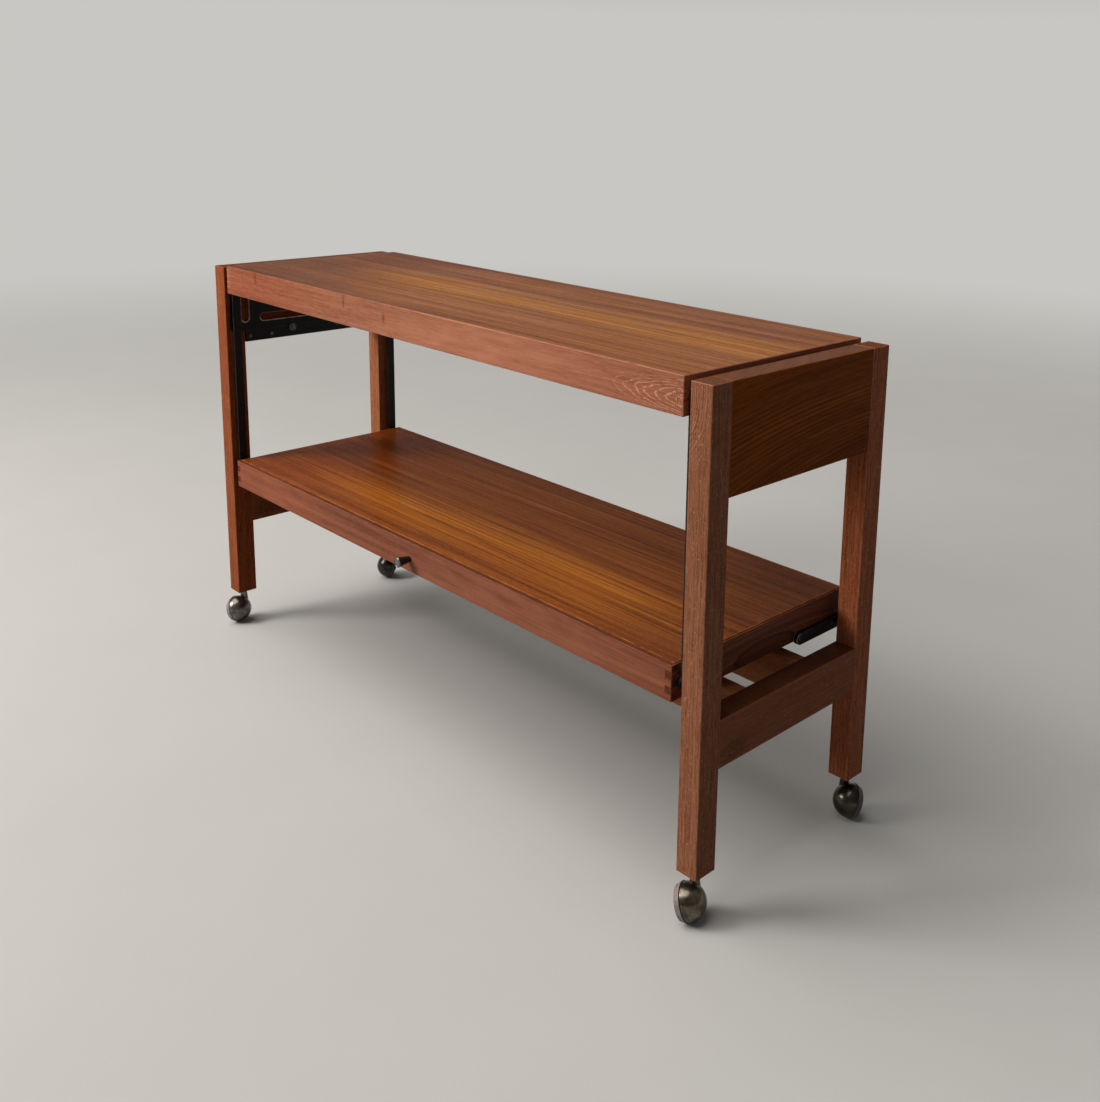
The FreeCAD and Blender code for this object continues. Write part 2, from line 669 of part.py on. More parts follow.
FRONT_TOP_PIVOT = (FRONT_PIVOT_Y, f"({TOP_Z} - {FRONT_DROP})")
REAR_TOP_PIVOT = (REAR_PIVOT_Y, f"({TOP_Z} - {REAR_DROP})")
FRONT_LEAF_PIVOT = (FRONT_PIVOT_Y, f"({LEAF_Z} - {FRONT_DROP})")
REAR_LEAF_PIVOT = (REAR_PIVOT_Y, f"({LEAF_Z} - {REAR_DROP})")
SPACER_Z = f"({TOP_Z} - {FRONT_DROP})"
SPACERS = [(y, SPACER_Z) for y in (f"(spacer_inset - {TIER_HALF})", "0", f"({TIER_HALF} - spacer_inset)")]
REAR_NOSE_Y = f"({REAR_PIVOT_Y} - bracket_rear_reach)"
FRONT_NOSE_Y = f"({FRONT_PIVOT_Y} + bracket_front_reach)"
REAR_SCREW_Z = f"({REAR_LEAF_PIVOT[1]} + bracket_screw_rise)"
BRACKET_SCREWS = {
    "rear": [(REAR_NOSE_Y, REAR_SCREW_Z), (f"({REAR_PIVOT_Y} - bracket_screw_inset)", REAR_SCREW_Z)],
    "front": [(y, FRONT_LEAF_PIVOT[1]) for y in (FRONT_NOSE_Y, f"({FRONT_PIVOT_Y} + bracket_screw_inset)")],
}
BRACKET_ENDS = {
    "rear": ((REAR_NOSE_Y, REAR_LEAF_PIVOT[1]), REAR_LEAF_PIVOT),
    "front": (FRONT_LEAF_PIVOT, (FRONT_NOSE_Y, FRONT_LEAF_PIVOT[1])),
}
ARM_ENDS = {
    "front": (FRONT_LEAF_PIVOT, FRONT_TOP_PIVOT),
    "rear": (REAR_LEAF_PIVOT, REAR_TOP_PIVOT),
}
for end in SIDES:
    spacer_depth = f"(spacer_screw_length - {TOP_GAP} + plate_offset)"
    end_holes(top_rails[end], end, TOP_HALF, SPACERS, "(spacer_screw_diameter / 2)", spacer_depth)
    bracket_depth = "(bracket_screw_length - bracket_thickness)"
    screws = BRACKET_SCREWS["rear"] + BRACKET_SCREWS["front"]
    end_holes(leaf_rails[end], end, LEAF_HALF, screws, "(bracket_screw_diameter / 2)", bracket_depth)


def across_edges(blank):
    """Name a plate's corner edges, which run through its thickness along x."""
    names = []
    for number, edge in enumerate(blank.Shape.Edges, start=1):
        box = edge.BoundBox
        if box.XLength > box.YLength + box.ZLength:
            names.append(f"Edge{number}")
    return names


# The carriage plates under the top, each with its running slot and the upright slot in front.
def make_plate(side):
    plate = new_body(f"carriage_plate_{side}")
    outer = f"({INNER_X} - plate_offset)"
    low, _ = mirrored_range(side, f"({outer} - plate_thickness)", outer)
    outline = new_sketch(plate, "YZ_Plane", low)
    draw_box(outline, PLATE_FRONT, PLATE_REAR, PLATE_FLOOR, PLATE_TOP)
    blank = pad(plate, outline, "plate_thickness")
    doc.recompute()
    corners = plate.newObject("PartDesign::Fillet", f"{plate.Name}_corners")
    corners.Base = (blank, across_edges(blank))
    corners.setExpression("Radius", expr("plate_corner"))
    slots = new_sketch(plate, "YZ_Plane", low)
    draw_slot(slots, (SLOT_FRONT_Y, STUD_Z), (SLOT_REAR_Y, STUD_Z), "(slot_height / 2)")
    catch_low = f"({PLATE_FLOOR} + catch_slot_rise + catch_slot_width / 2)"
    catch_high = f"({PLATE_TOP} - catch_slot_drop - catch_slot_width / 2)"
    draw_slot(slots, (CATCH_Y, catch_low), (CATCH_Y, catch_high), "(catch_slot_width / 2)")
    for y, z in (FRONT_TOP_PIVOT, REAR_TOP_PIVOT):
        draw_circle(slots, y, z, "(rivet_diameter / 2)")
    for y, z in SPACERS:
        draw_circle(slots, y, z, "(spacer_screw_diameter / 2)")
    pocket(plate, slots, "plate_thickness", True)


# A swing arm with a bored eye at each end.
def make_arm(corner, side, lower_clearance):
    arm = new_body(f"arm_{corner}_{side}")
    low, _ = mirrored_range(side, f"({INNER_X} - {ARM_INNER})", f"({INNER_X} - {ARM_OUTER})")
    lower, upper = ARM_ENDS[corner]
    outline = new_sketch(arm, "YZ_Plane", low)
    draw_slot(outline, lower, upper, "(arm_width / 2)")
    draw_circle(outline, *lower, f"(pivot_diameter / 2 + {lower_clearance})")
    draw_circle(outline, *upper, "(pivot_diameter / 2 + pivot_clearance)")
    pad(arm, outline, "arm_thickness")


# A bracket on the end of the leaf, with a rivet hole and two sunk screws.
def make_bracket(corner, side):
    bracket = new_body(f"leaf_bracket_{corner}_{side}")
    low, high = mirrored_range(side, f"({INNER_X} - {LEAF_GAP})", f"({INNER_X} - {BRACKET_OUTER})")
    start, finish = BRACKET_ENDS[corner]
    pivot = finish if corner == "rear" else start
    outline = new_sketch(bracket, "YZ_Plane", low)
    draw_slot(outline, start, finish, "(bracket_height / 2)")
    draw_circle(outline, *pivot, "(rivet_diameter / 2)")
    for y, z in BRACKET_SCREWS[corner]:
        draw_circle(outline, y, z, "(bracket_screw_diameter / 2)")
    pad(bracket, outline, "bracket_thickness")
    sinks = new_sketch(bracket, "YZ_Plane", high if side == "right" else low)
    for y, z in BRACKET_SCREWS[corner]:
        draw_circle(sinks, y, z, "(bracket_screw_head / 2)")
    pocket(bracket, sinks, "bracket_screw_head_height", side == "left")


for end in SIDES:
    make_plate(end)
    for corner in ARM_ENDS:
        driver = corner == "front" and end == "right"
        make_arm(corner, end, "pivot_clearance" if driver else "open_pivot_clearance")
        make_bracket(corner, end)

# Pins, sleeves and screws of the carriage and the arms.
upper_pin = turned("upper_pin", [
    (f"({TOP_GAP} - {ARM_OUTER} + side_clearance)", "(pivot_diameter / 2)"),
    (f"({TOP_GAP} - plate_offset - plate_thickness)", "(collar_diameter / 2)"),
    (f"({TOP_GAP} - plate_offset)", "(rivet_diameter / 2)"),
])
group("upper_pivot_pins", upper_pin, on_aprons(TOP_GAP, [FRONT_TOP_PIVOT, REAR_TOP_PIVOT]))
lower_pin = turned("lower_pin", [
    ("bracket_thickness", "(rivet_diameter / 2)"),
    (f"({LEAF_GAP} - {ARM_OUTER} + side_clearance)", "(pivot_diameter / 2)"),
    (f"({LEAF_GAP} - {HEADS_INNER})", "(collar_diameter / 2)"),
])
group("lower_pivot_pins", lower_pin, on_aprons(LEAF_GAP, [FRONT_LEAF_PIVOT, REAR_LEAF_PIVOT]))
spacer = bored("spacer", "(spacer_diameter / 2)", "(spacer_screw_diameter / 2)",
               f"({TOP_GAP} - plate_offset - plate_thickness)")
group("plate_spacers", spacer, on_aprons(TOP_GAP, SPACERS))
spacer_screw = turned("spacer_screw", [
    ("spacer_screw_length", "(spacer_screw_diameter / 2)"),
    ("(spacer_screw_length + plate_offset - side_clearance)", "(spacer_screw_head / 2)"),
])
group("plate_screws", spacer_screw, on_aprons("(spacer_screw_length + plate_offset)", SPACERS))
bracket_screw = turned("bracket_screw", [
    ("(bracket_screw_length - bracket_screw_head_height)", "(bracket_screw_diameter / 2)"),
    ("bracket_screw_length", "(bracket_screw_head / 2)"),
])
group("bracket_screws", bracket_screw, on_aprons(
    f"(bracket_screw_length + {BRACKET_OUTER})", BRACKET_SCREWS["rear"] + BRACKET_SCREWS["front"]))

# The turned pull on the leaf's front rail, and the screw that holds it from behind.
KNOB_Z = f"({LEAF_Z} - knob_drop)"
knob = new_body("pull_knob", "0", f"(-1 * {TIER_HALF})", KNOB_Z, "180")
profile = new_sketch(knob, "YZ_Plane")
draw(profile, [
    ("0", "0"),
    ("0", "(knob_root_diameter / 2)"),
    ("(knob_length - knob_face_rim)", "(knob_diameter / 2)"),
    ("knob_length", "(knob_diameter / 2 - knob_face_rim)"),
    ("(knob_length - knob_face_dish)", "(knob_diameter / 2 - knob_face_rim - knob_face_dish)"),
    ("(knob_length - knob_face_dish)", "0"),
])
revolve(knob, profile)
bore = new_sketch(knob, "XZ_Plane")
draw_circle(bore, "0", "0", "(knob_screw_diameter / 2)")
pocket(knob, bore, "knob_screw_length - rail_thickness", False)
passage = new_sketch(leaf_rails["front"], "XZ_Plane", TIER_HALF)
draw_circle(passage, "0", KNOB_Z, "(knob_screw_diameter / 2)")
pocket(leaf_rails["front"], passage, "rail_thickness", False)
knob_screw = turned("knob_screw", [
    ("knob_screw_head_height", "(knob_screw_head / 2)"),
    ("(knob_screw_head_height + knob_screw_length)", "(knob_screw_diameter / 2)"),
])
knob_seat = f"(rail_thickness + knob_screw_head_height - {TIER_HALF})"
group("pull_knob_screw", knob_screw, [("0", knob_seat, KNOB_Z, (0, 0, 1), -90)])

# Sockets pressed into the feet of the legs, one for each caster.
socket_profile = doc.addObject("Sketcher::SketchObject", "socket_profile")
draw(socket_profile, [
    ("0", "(kingpin_diameter / 2 + kingpin_clearance)"),
    ("0", "(socket_flange_diameter / 2)"),
    ("socket_flange_thickness", "(socket_flange_diameter / 2)"),
    ("socket_flange_thickness", "(socket_diameter / 2)"),
    ("(socket_flange_thickness + socket_length)", "(socket_diameter / 2)"),
    ("(socket_flange_thickness + socket_length)", "(kingpin_diameter / 2 + kingpin_clearance)"),
])
socket = spun("socket", socket_profile)
socket_places = []
for x in (f"-{LEG_X}", LEG_X):
    for y in (f"-{LEG_Y}", LEG_Y):
        socket_places.append((x, y, "caster_height - socket_flange_thickness", (0, 1, 0), -90))
group("caster_sockets", socket, socket_places)


def axle_sketch(body, hand):
    """Start a sketch whose x axis is the caster's leaning axle, trailing on one hand of the kingpin."""
    sketch = new_sketch(body, "XZ_Plane", f"{hand} * wheel_trail")
    sketch.setExpression("AttachmentOffset.Base.x", expr("-wheel_offset"))
    sketch.setExpression("AttachmentOffset.Base.y", expr(AXLE_Z))
    tilt = FreeCAD.Rotation(FreeCAD.Vector(0, 0, 1), value("axle_tilt"))
    sketch.AttachmentOffset = FreeCAD.Placement(sketch.AttachmentOffset.Base, tilt)
    sketch.setExpression("AttachmentOffset.Rotation.Angle", expr("axle_tilt"))
    return sketch


# A caster: the hood with its neck, kingpin and axle, the domed wheel, and the tread around it.
def make_caster(corner, x, y, hand):
    swivel = f"swivel_{corner}"
    hood = new_body(f"caster_hood_{corner}", x, y, "0", swivel)
    dome = axle_sketch(hood, hand)
    axle_end = "(tread_width + wheel_dome_depth - axle_web)"
    draw(dome, [
        (f"(-1 * {axle_end})", "0"),
        (f"(-1 * {axle_end})", "(axle_diameter / 2)"),
        ("hood_gap", "(axle_diameter / 2)"),
        ("hood_gap", "(tread_radius - hood_inset)"),
        ("(hood_gap + hood_depth)", "0"),
    ], round_steps=(3,))
    revolve(hood, dome)
    neck = new_sketch(hood, "XZ_Plane")
    turn_neck(hood, neck)
    wheel = new_body(f"caster_wheel_{corner}", x, y, "0", swivel)
    disc = axle_sketch(wheel, hand)
    rim = "(tread_radius - tread_wall)"
    draw(disc, [
        ("(-tread_width - wheel_dome_depth)", "0"),
        ("(-tread_width)", f"({rim} - wheel_bevel)"),
        ("(-tread_width)", rim),
        ("0", rim),
        ("0", "(axle_diameter / 2 + axle_clearance)"),
        (f"(-1 * {axle_end} - side_clearance)", "(axle_diameter / 2 + axle_clearance)"),
        (f"(-1 * {axle_end} - side_clearance)", "0"),
    ], round_steps=(0,))
    revolve(wheel, disc)
    tread = new_body(f"caster_tread_{corner}", x, y, "0", swivel)
    band = axle_sketch(tread, hand)
    draw(band, [
        ("(-tread_width)", rim),
        ("(-tread_width)", "(tread_radius - tread_width * tan(axle_tilt))"),
        ("0", "tread_radius"),
        ("0", rim),
    ])
    revolve(tread, band)


def turn_neck(hood, sketch):
    """Turn the flared neck and the kingpin about the upright axis."""
    foot = f"({AXLE_Z} + neck_foot_rise)"
    tip = f"({NECK_TOP} + socket_length - kingpin_relief)"
    draw(sketch, [
        ("0", f"({foot} - neck_foot_taper)"),
        ("neck_foot_radius", foot),
        ("neck_radius", NECK_TOP),
        ("(kingpin_diameter / 2)", NECK_TOP),
        ("(kingpin_diameter / 2)", tip),
        ("0", tip),
    ])
    feature = hood.newObject("PartDesign::Revolution", f"{hood.Name}_neck")
    feature.Profile = sketch
    feature.ReferenceAxis = (sketch, ["V_Axis"])


make_caster("front_left", f"-{LEG_X}", f"-{LEG_Y}", "1")
make_caster("front_right", LEG_X, f"-{LEG_Y}", "1")
make_caster("rear_left", f"-{LEG_X}", LEG_Y, "-1")
make_caster("rear_right", LEG_X, LEG_Y, "-1")

# Every sub-part is checked and written out under its own name.
doc.recompute()
os.makedirs("parts", exist_ok=True)
for piece in doc.Objects:
    state = set(piece.State)
    if state & {"Invalid", "Error"}:
        raise RuntimeError(f"{piece.Name} did not rebuild: {piece.State}")
    if piece.TypeId not in ("PartDesign::Body", "Part::Compound"):
        continue
    if piece.Shape.isNull() or not piece.Shape.isValid():
        raise RuntimeError(f"{piece.Label} has no sound shape")
    piece.Shape.exportStep(f"parts/{piece.Label}.step")
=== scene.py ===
"""Finishes and studio for a two-tier tea trolley with a swing-up leaf."""
import math
from typing import NamedTuple

import bmesh
import bpy
from bpy.props import FloatProperty, FloatVectorProperty, PointerProperty
from mathutils import Matrix, Vector


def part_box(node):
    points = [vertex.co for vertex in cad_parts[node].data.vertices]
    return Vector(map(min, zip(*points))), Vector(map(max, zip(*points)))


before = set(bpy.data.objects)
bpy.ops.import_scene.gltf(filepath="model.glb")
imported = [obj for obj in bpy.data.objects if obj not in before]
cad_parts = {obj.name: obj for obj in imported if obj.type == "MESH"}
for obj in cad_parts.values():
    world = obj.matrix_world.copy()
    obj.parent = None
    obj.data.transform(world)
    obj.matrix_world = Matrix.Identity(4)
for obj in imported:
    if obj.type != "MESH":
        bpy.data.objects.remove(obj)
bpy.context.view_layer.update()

bl_info = {
    "name": "Tea Trolley Finishes",
    "version": (1, 0, 0),
    "blender": (4, 5, 0),
    "location": "View3D > Sidebar > Trolley",
    "description": "Wood, steel and caster finishes for a convertible tea trolley, with its studio",
    "category": "Object",
}

CORNERS = ("front_left", "front_right", "rear_left", "rear_right")
SIDES = ("left", "right")
LONG_SIDES = ("front", "rear")
SETTINGS = ("trolley_wood", "trolley_metal", "trolley_studio")
X, Y, Z = range(3)

# Sizes of the solids in metres; the fingers' edges are shares of the tier's height.
TIER_HEIGHT = 0.0515
RAIL_THICKNESS = 0.0105
TOP_FINGERS = (0.26, 0.46, 0.66, 0.88)
LEAF_FINGERS = (0.2, 0.4, 0.6, 0.8)

# How the colours of single pieces and places differ from the common ones; some of these are painted
# light and shade, as marked below.
SAME_TONE = (1.0, 1.0, 1.0)
CASTER_TONES_AND_SHADE = {
    "front_left": (1.05, 1.10, 1.30),
    "front_right": SAME_TONE,
    # The rear casters are darkened as painted shade.
    "rear_left": (0.34, 0.36, 0.42),
    "rear_right": (0.42, 0.42, 0.44),
}
LEG_TONES_AND_PAINTED_LIGHT = {
    "front_left": (1.10, 0.81, 0.58),
    "front_right": (1.11, 1.26, 1.50),
    # The rear-left leg is lightened as painted light, standing in for light that the top keeps off
    # its front.
    "rear_left": (1.52, 1.66, 1.66),
    "rear_right": (1.46, 1.32, 1.26),
}
# The long stretchers are lightened as painted light, standing in for light that reaches them under
# the leaf.
LONG_STRETCHER_PAINTED_LIGHT = (1.50, 1.60, 1.35)
TOP_RAIL_LEFT_END = (0.93, 0.72, 0.62)
# The leaf's right end is darkened as painted shade of the front-right leg.
LEAF_RIGHT_END_PAINTED_SHADE = (0.66, 0.64, 0.95)

FASTENERS = (
    "guide_screws", "guide_buttons", "guide_studs", "plate_spacers", "plate_screws",
    "upper_pivot_pins", "lower_pivot_pins", "bracket_screws", "pull_knob_screw", "caster_sockets",
)


class Slot(NamedTuple):
    """An opening of a carriage plate: the middles of its round ends in Y and Z, their radius."""
    start: tuple
    stop: tuple
    radius: float


PLATE_SLOTS = (
    Slot(start=(-0.0978, 0.6140), stop=(0.1477, 0.6140), radius=0.0070),
    Slot(start=(-0.1357, 0.6155), stop=(-0.1357, 0.6549), radius=0.0075),
)


class Spot(NamedTuple):
    """A patch on a board: its middle along and across, its half sizes and its strength."""
    along: float
    wide: float
    length: float
    height: float
    share: float

    def placed(self, edge):
        """The spot whose place across was given from an edge of the board."""
        return self._replace(wide=edge + self.wide)


# Dark places of the panels, across in Y: darker strips along the front edges, and at the leaf's
# rear-left corner a painted shadow.
TOP_FRONT_STRIP = Spot(along=-0.45, wide=-0.185, length=0.45, height=0.10, share=0.50)
LEAF_FRONT_STRIP = Spot(along=0.0, wide=-0.185, length=1.20, height=0.085, share=0.40)
LEAF_CORNER_PAINTED_SHADOW = Spot(along=-0.58, wide=0.12, length=0.24, height=0.26, share=0.66)

# Places across are from the board's upper edge for scuffs, from its lower edge for the others.
TOP_SCUFFS = (
    Spot(along=-0.483, wide=-0.009, length=0.0060, height=0.017, share=0.85),
    Spot(along=-0.187, wide=-0.011, length=0.0050, height=0.017, share=0.92),
    Spot(along=-0.070, wide=-0.024, length=0.0060, height=0.017, share=0.75),
)
LEAF_SCUFFS = (
    Spot(along=-0.379, wide=-0.0100, length=0.014, height=0.011, share=0.40),
    Spot(along=-0.030, wide=-0.0100, length=0.012, height=0.011, share=0.35),
    Spot(along=0.005, wide=-0.0385, length=0.006, height=0.011, share=0.45),
)
# Lighter stretches of the rails: painted pools of light where the light falls brighter, the leaf
# rail's right one also a painted greyish sheen.
TOP_RAIL_PAINTED_LIGHT = (
    (Spot(along=0.17, wide=0.026, length=0.36, height=0.060, share=0.64), (1.20, 1.08, 1.04)),
)
LEAF_RAIL_PAINTED_LIGHT = (
    (Spot(along=-0.46, wide=0.026, length=0.28, height=0.055, share=0.60), (1.36, 1.08, 0.92)),
    (Spot(along=0.27, wide=0.026, length=0.46, height=0.060, share=0.60), (1.14, 1.18, 1.17)),
)
LEAF_EYE = Spot(along=0.018, wide=0.010, length=0.066, height=0.0165, share=0.95)
STRETCHER_DARK_PATCH = Spot(along=-0.105, wide=0.018, length=0.040, height=0.022, share=0.60)


class Veneer(NamedTuple):
    """One panel's veneer: its golden band, gloss and rings, and its tones."""
    seed: float
    gold_middle: float
    gold_reach: float
    gold_end: float
    sheen: float
    rings: float
    plain: tuple
    gold: tuple
    left_end: tuple


VENEERS = {
    # The top's tones lift green and blue over the wood's colour: a painted greyish sheen.
    "top": Veneer(
        seed=3.0, gold_middle=0.012, gold_reach=0.085, gold_end=0.60, sheen=0.07, rings=0.40,
        plain=(0.93, 1.05, 1.70), gold=(1.26, 1.48, 1.80), left_end=(0.60, 0.45, 0.30)),
    # The leaf's golden band lies where light reaches it under the top: partly the veneer's golden
    # middle, partly painted light.
    "leaf": Veneer(
        seed=8.0, gold_middle=-0.078, gold_reach=0.075, gold_end=0.46, sheen=0.09, rings=0.62,
        plain=(1.06, 1.03, 1.00), gold=(1.42, 1.38, 1.00), left_end=(0.80, 0.56, 0.36)),
}


class Figure(NamedTuple):
    """A board's grain: layers of cycles per metre along and across with their shares, and lines."""
    layers: tuple
    spread: float
    lines: float
    line_pitch: float
    fleck: float
    fleck_width: float
    sway: float
    slant: float = 0.0


VENEER_GRAIN = Figure(
    layers=((0.35, 13.0, 0.15), (0.9, 50.0, 0.20), (1.9, 115.0, 0.33), (4.5, 310.0, 0.32)),
    spread=0.128, lines=0.40, line_pitch=0.0042, fleck=0.36, fleck_width=0.0011, sway=0.010)
RAIL_GRAIN = Figure(
    layers=((2.0, 26.0, 0.20), (4.0, 120.0, 0.22), (12.0, 360.0, 0.30), (34.0, 800.0, 0.28)),
    spread=0.160, lines=0.14, line_pitch=0.007, fleck=0.34, fleck_width=0.0014, sway=0.012)
STRIPED_GRAIN = Figure(
    layers=((0.9, 30.0, 0.20), (2.0, 140.0, 0.30), (6.0, 380.0, 0.30), (24.0, 800.0, 0.20)),
    spread=0.130, lines=0.32, line_pitch=0.006, fleck=0.34, fleck_width=0.0013, sway=0.010)
LEG_GRAIN = Figure(
    layers=((1.4, 40.0, 0.10), (5.0, 200.0, 0.20), (16.0, 460.0, 0.36), (44.0, 800.0, 0.34)),
    spread=0.220, lines=0.10, line_pitch=0.006, fleck=0.56, fleck_width=0.0019, sway=0.008,
    slant=0.45)
PLAIN_GRAIN = Figure(
    layers=((1.4, 30.0, 0.16), (4.0, 160.0, 0.22), (14.0, 420.0, 0.32), (40.0, 800.0, 0.30)),
    spread=0.290, lines=0.10, line_pitch=0.006, fleck=0.38, fleck_width=0.0015, sway=0.008)
APRON_GRAIN = Figure(
    layers=((1.0, 14.0, 0.26), (3.0, 120.0, 0.18), (8.0, 380.0, 0.28), (26.0, 900.0, 0.28)),
    spread=0.170, lines=0.12, line_pitch=0.008, fleck=0.32, fleck_width=0.0013, sway=0.010)


class Log(NamedTuple):
    """Where a board lies in the log: the heart's place and lean, which bend rings into arches."""
    heart: float = -0.6
    lean: float = 0.0
    peak: float = 0.0
    arches: float = 0.0
    arch_pitch: float = 0.0072
    arch_floor: float = 0.0
    arch_ceiling: float = 9.0


class Lamp(NamedTuple):
    """A light of the studio; its softness is a side in metres, or an angle for a far light."""
    kind: str
    place: tuple
    energy: float
    colour: tuple
    softness: float


LAMPS = {
    "key": Lamp("AREA", (-2.1, -2.9, 2.5), 112.0, (1.0, 0.965, 0.92), 1.5),
    "ceiling": Lamp("SUN", (-1.0, -0.9, 3.4), 1.95, (1.0, 0.98, 0.955), math.radians(55.0)),
}
LIGHT_AIM = Vector((0.0, 0.0, 0.45))
FILL_COLOUR = (0.97, 0.98, 1.0)
FILL_STRENGTH = 0.10
FLOOR_HALF_SIDE = 60.0
FLOOR_BOUNCE = 0.40
FLOOR_FADE = (2.2, 6.0)
BACKDROP_RISE = (0.06, 0.20)
BACKDROP_DIM = 0.28
SENSOR_SIDE = 36.0
FARTHEST_VIEW = 200.0


def tint(label, words, colour):
    """A colour that a user may change."""
    return FloatVectorProperty(
        name=label, description=words, subtype="COLOR", size=3, min=0, max=1, default=colour)


def scaled(colour, factor):
    """A colour made darker or lighter."""
    return tuple(min(1.0, factor * item) for item in colour)


def stained(colour, tone):
    """A colour with each of its parts made darker or lighter."""
    return tuple(min(1.0, factor * item) for item, factor in zip(colour, tone))


def palette(wood, kind, tone=SAME_TONE):
    """The dark, main and light colour of one kind of board."""
    return [stained(getattr(wood, f"{kind}_{depth}"), tone) for depth in ("deep", "mid", "pale")]


class WoodFinish(bpy.types.PropertyGroup):
    """Colours and polish of the oiled teak."""
    veneer_deep: tint(
        "Veneer dark", "Dark streaks of the veneered surfaces", (0.106, 0.024, 0.0040))
    veneer_mid: tint("Veneer", "Main colour of the veneered surfaces", (0.300, 0.080, 0.012))
    veneer_pale: tint(
        "Veneer light", "Light streaks of the veneered surfaces", (0.455, 0.146, 0.026))
    gold_deep: tint(
        "Gold dark", "Dark streaks in the golden middle of the veneer", (0.165, 0.043, 0.0050))
    gold_mid: tint("Gold", "Golden middle of the veneer", (0.388, 0.119, 0.014))
    gold_pale: tint(
        "Gold light", "Light streaks in the golden middle of the veneer", (0.535, 0.202, 0.032))
    top_rail_deep: tint(
        "Top rail dark", "Dark streaks of the rails round the top", (0.212, 0.064, 0.030))
    top_rail_mid: tint("Top rail", "Main colour of the rails round the top", (0.394, 0.144, 0.077))
    top_rail_pale: tint(
        "Top rail light", "Light streaks of the rails round the top", (0.525, 0.230, 0.139))
    leaf_rail_deep: tint(
        "Leaf rail dark", "Dark streaks of the rails round the leaf", (0.107, 0.030, 0.014))
    # The leaf rails' main colour is lifted a little in green and blue as a painted greyish sheen.
    leaf_rail_mid: tint(
        "Leaf rail", "Main colour of the rails round the leaf", (0.228, 0.069, 0.035))
    leaf_rail_pale: tint(
        "Leaf rail light", "Light streaks of the rails round the leaf", (0.338, 0.120, 0.066))
    leg_deep: tint("Leg dark", "Dark flecks of the legs and stretchers", (0.115, 0.033, 0.012))
    leg_mid: tint("Leg", "Main colour of the legs and stretchers", (0.272, 0.088, 0.036))
    leg_pale: tint("Leg light", "Light flecks of the legs and stretchers", (0.420, 0.160, 0.076))
    apron_deep: tint("Apron dark", "Dark lines of the end boards", (0.078, 0.0165, 0.0018))
    apron_mid: tint("Apron", "Main colour of the end boards", (0.230, 0.055, 0.0054))
    apron_pale: tint("Apron light", "Light streaks of the end boards", (0.385, 0.106, 0.0140))
    glue: tint("Glue line", "Pale line round the fingers of the top", (0.560, 0.330, 0.210))
    beech: tint("Beech", "Dowels hidden in the joints", (0.550, 0.390, 0.220))
    # A greyish dull tint on the aprons' upward faces: painted sheen.
    painted_top_sheen: tint("Dust", "Dull upper edges of the end boards", (0.090, 0.062, 0.056))
    specks: tint("Specks", "Pale specks on the frame", (0.55, 0.40, 0.28))
    polish: FloatProperty(
        name="Polish", description="Roughness of the oiled surface", default=0.42, min=0.1, max=0.9)


class MetalFinish(bpy.types.PropertyGroup):
    """Colours of the steelwork, the casters and the knob."""
    enamel: tint(
        "Enamel", "Black enamel of the arms, plates and brackets", (0.0065, 0.0063, 0.0062))
    bare: tint("Bare steel", "Steel where the enamel has worn", (0.42, 0.40, 0.36))
    # Near-white colour of the slots' lips and the brackets' noses, partly bare steel and partly a
    # painted glint.
    lip: tint("Slot lips", "Rubbed lips of the slots and noses of the brackets", (0.80, 0.76, 0.66))
    fastener: tint("Fasteners", "Blackened screws, studs and buttons", (0.078, 0.073, 0.067))
    bronze: tint("Bronze", "Lacquer of the caster hoods and wheels", (0.180, 0.152, 0.112))
    bronze_dark: tint(
        "Dark bronze", "Tarnish of the caster hoods and wheels", (0.046, 0.039, 0.030))
    tread: tint("Tread", "Worn ring that the casters run on", (0.300, 0.245, 0.225))
    knob: tint("Knob", "Turned pull on the leaf", (0.0060, 0.0058, 0.0060))
    knob_face: tint("Knob face", "Rubbed face of the pull", (0.165, 0.160, 0.158))


class StudioSetup(bpy.types.PropertyGroup):
    """Camera, floor and backdrop of the studio."""
    eye: FloatVectorProperty(
        name="Eye", description="Place of the camera", subtype="TRANSLATION", unit="LENGTH", size=3,
        default=(1.50113, -1.19362, 1.04082))
    azimuth: FloatProperty(
        name="Azimuth", description="Heading to the left of +Y", subtype="ANGLE", default=0.7772)
    pitch: FloatProperty(name="Pitch", description="Look down", subtype="ANGLE", default=0.2008)
    roll: FloatProperty(
        name="Roll", description="Lean of the picture", subtype="ANGLE", default=0.0223)
    lens: FloatProperty(
        name="Lens", description="Focal length on a 36 mm side", default=38.67, min=10, max=200)
    shift_across: FloatProperty(
        name="Shift across", description="Off-centre framing across", default=-0.0818)
    shift_up: FloatProperty(
        name="Shift up", description="Off-centre framing upwards", default=-0.1903)
    floor: tint("Floor", "Plain pale floor", (0.560, 0.550, 0.525))
    backdrop: tint(
        "Backdrop", "Pale surroundings that the floor runs into", (0.580, 0.570, 0.545))


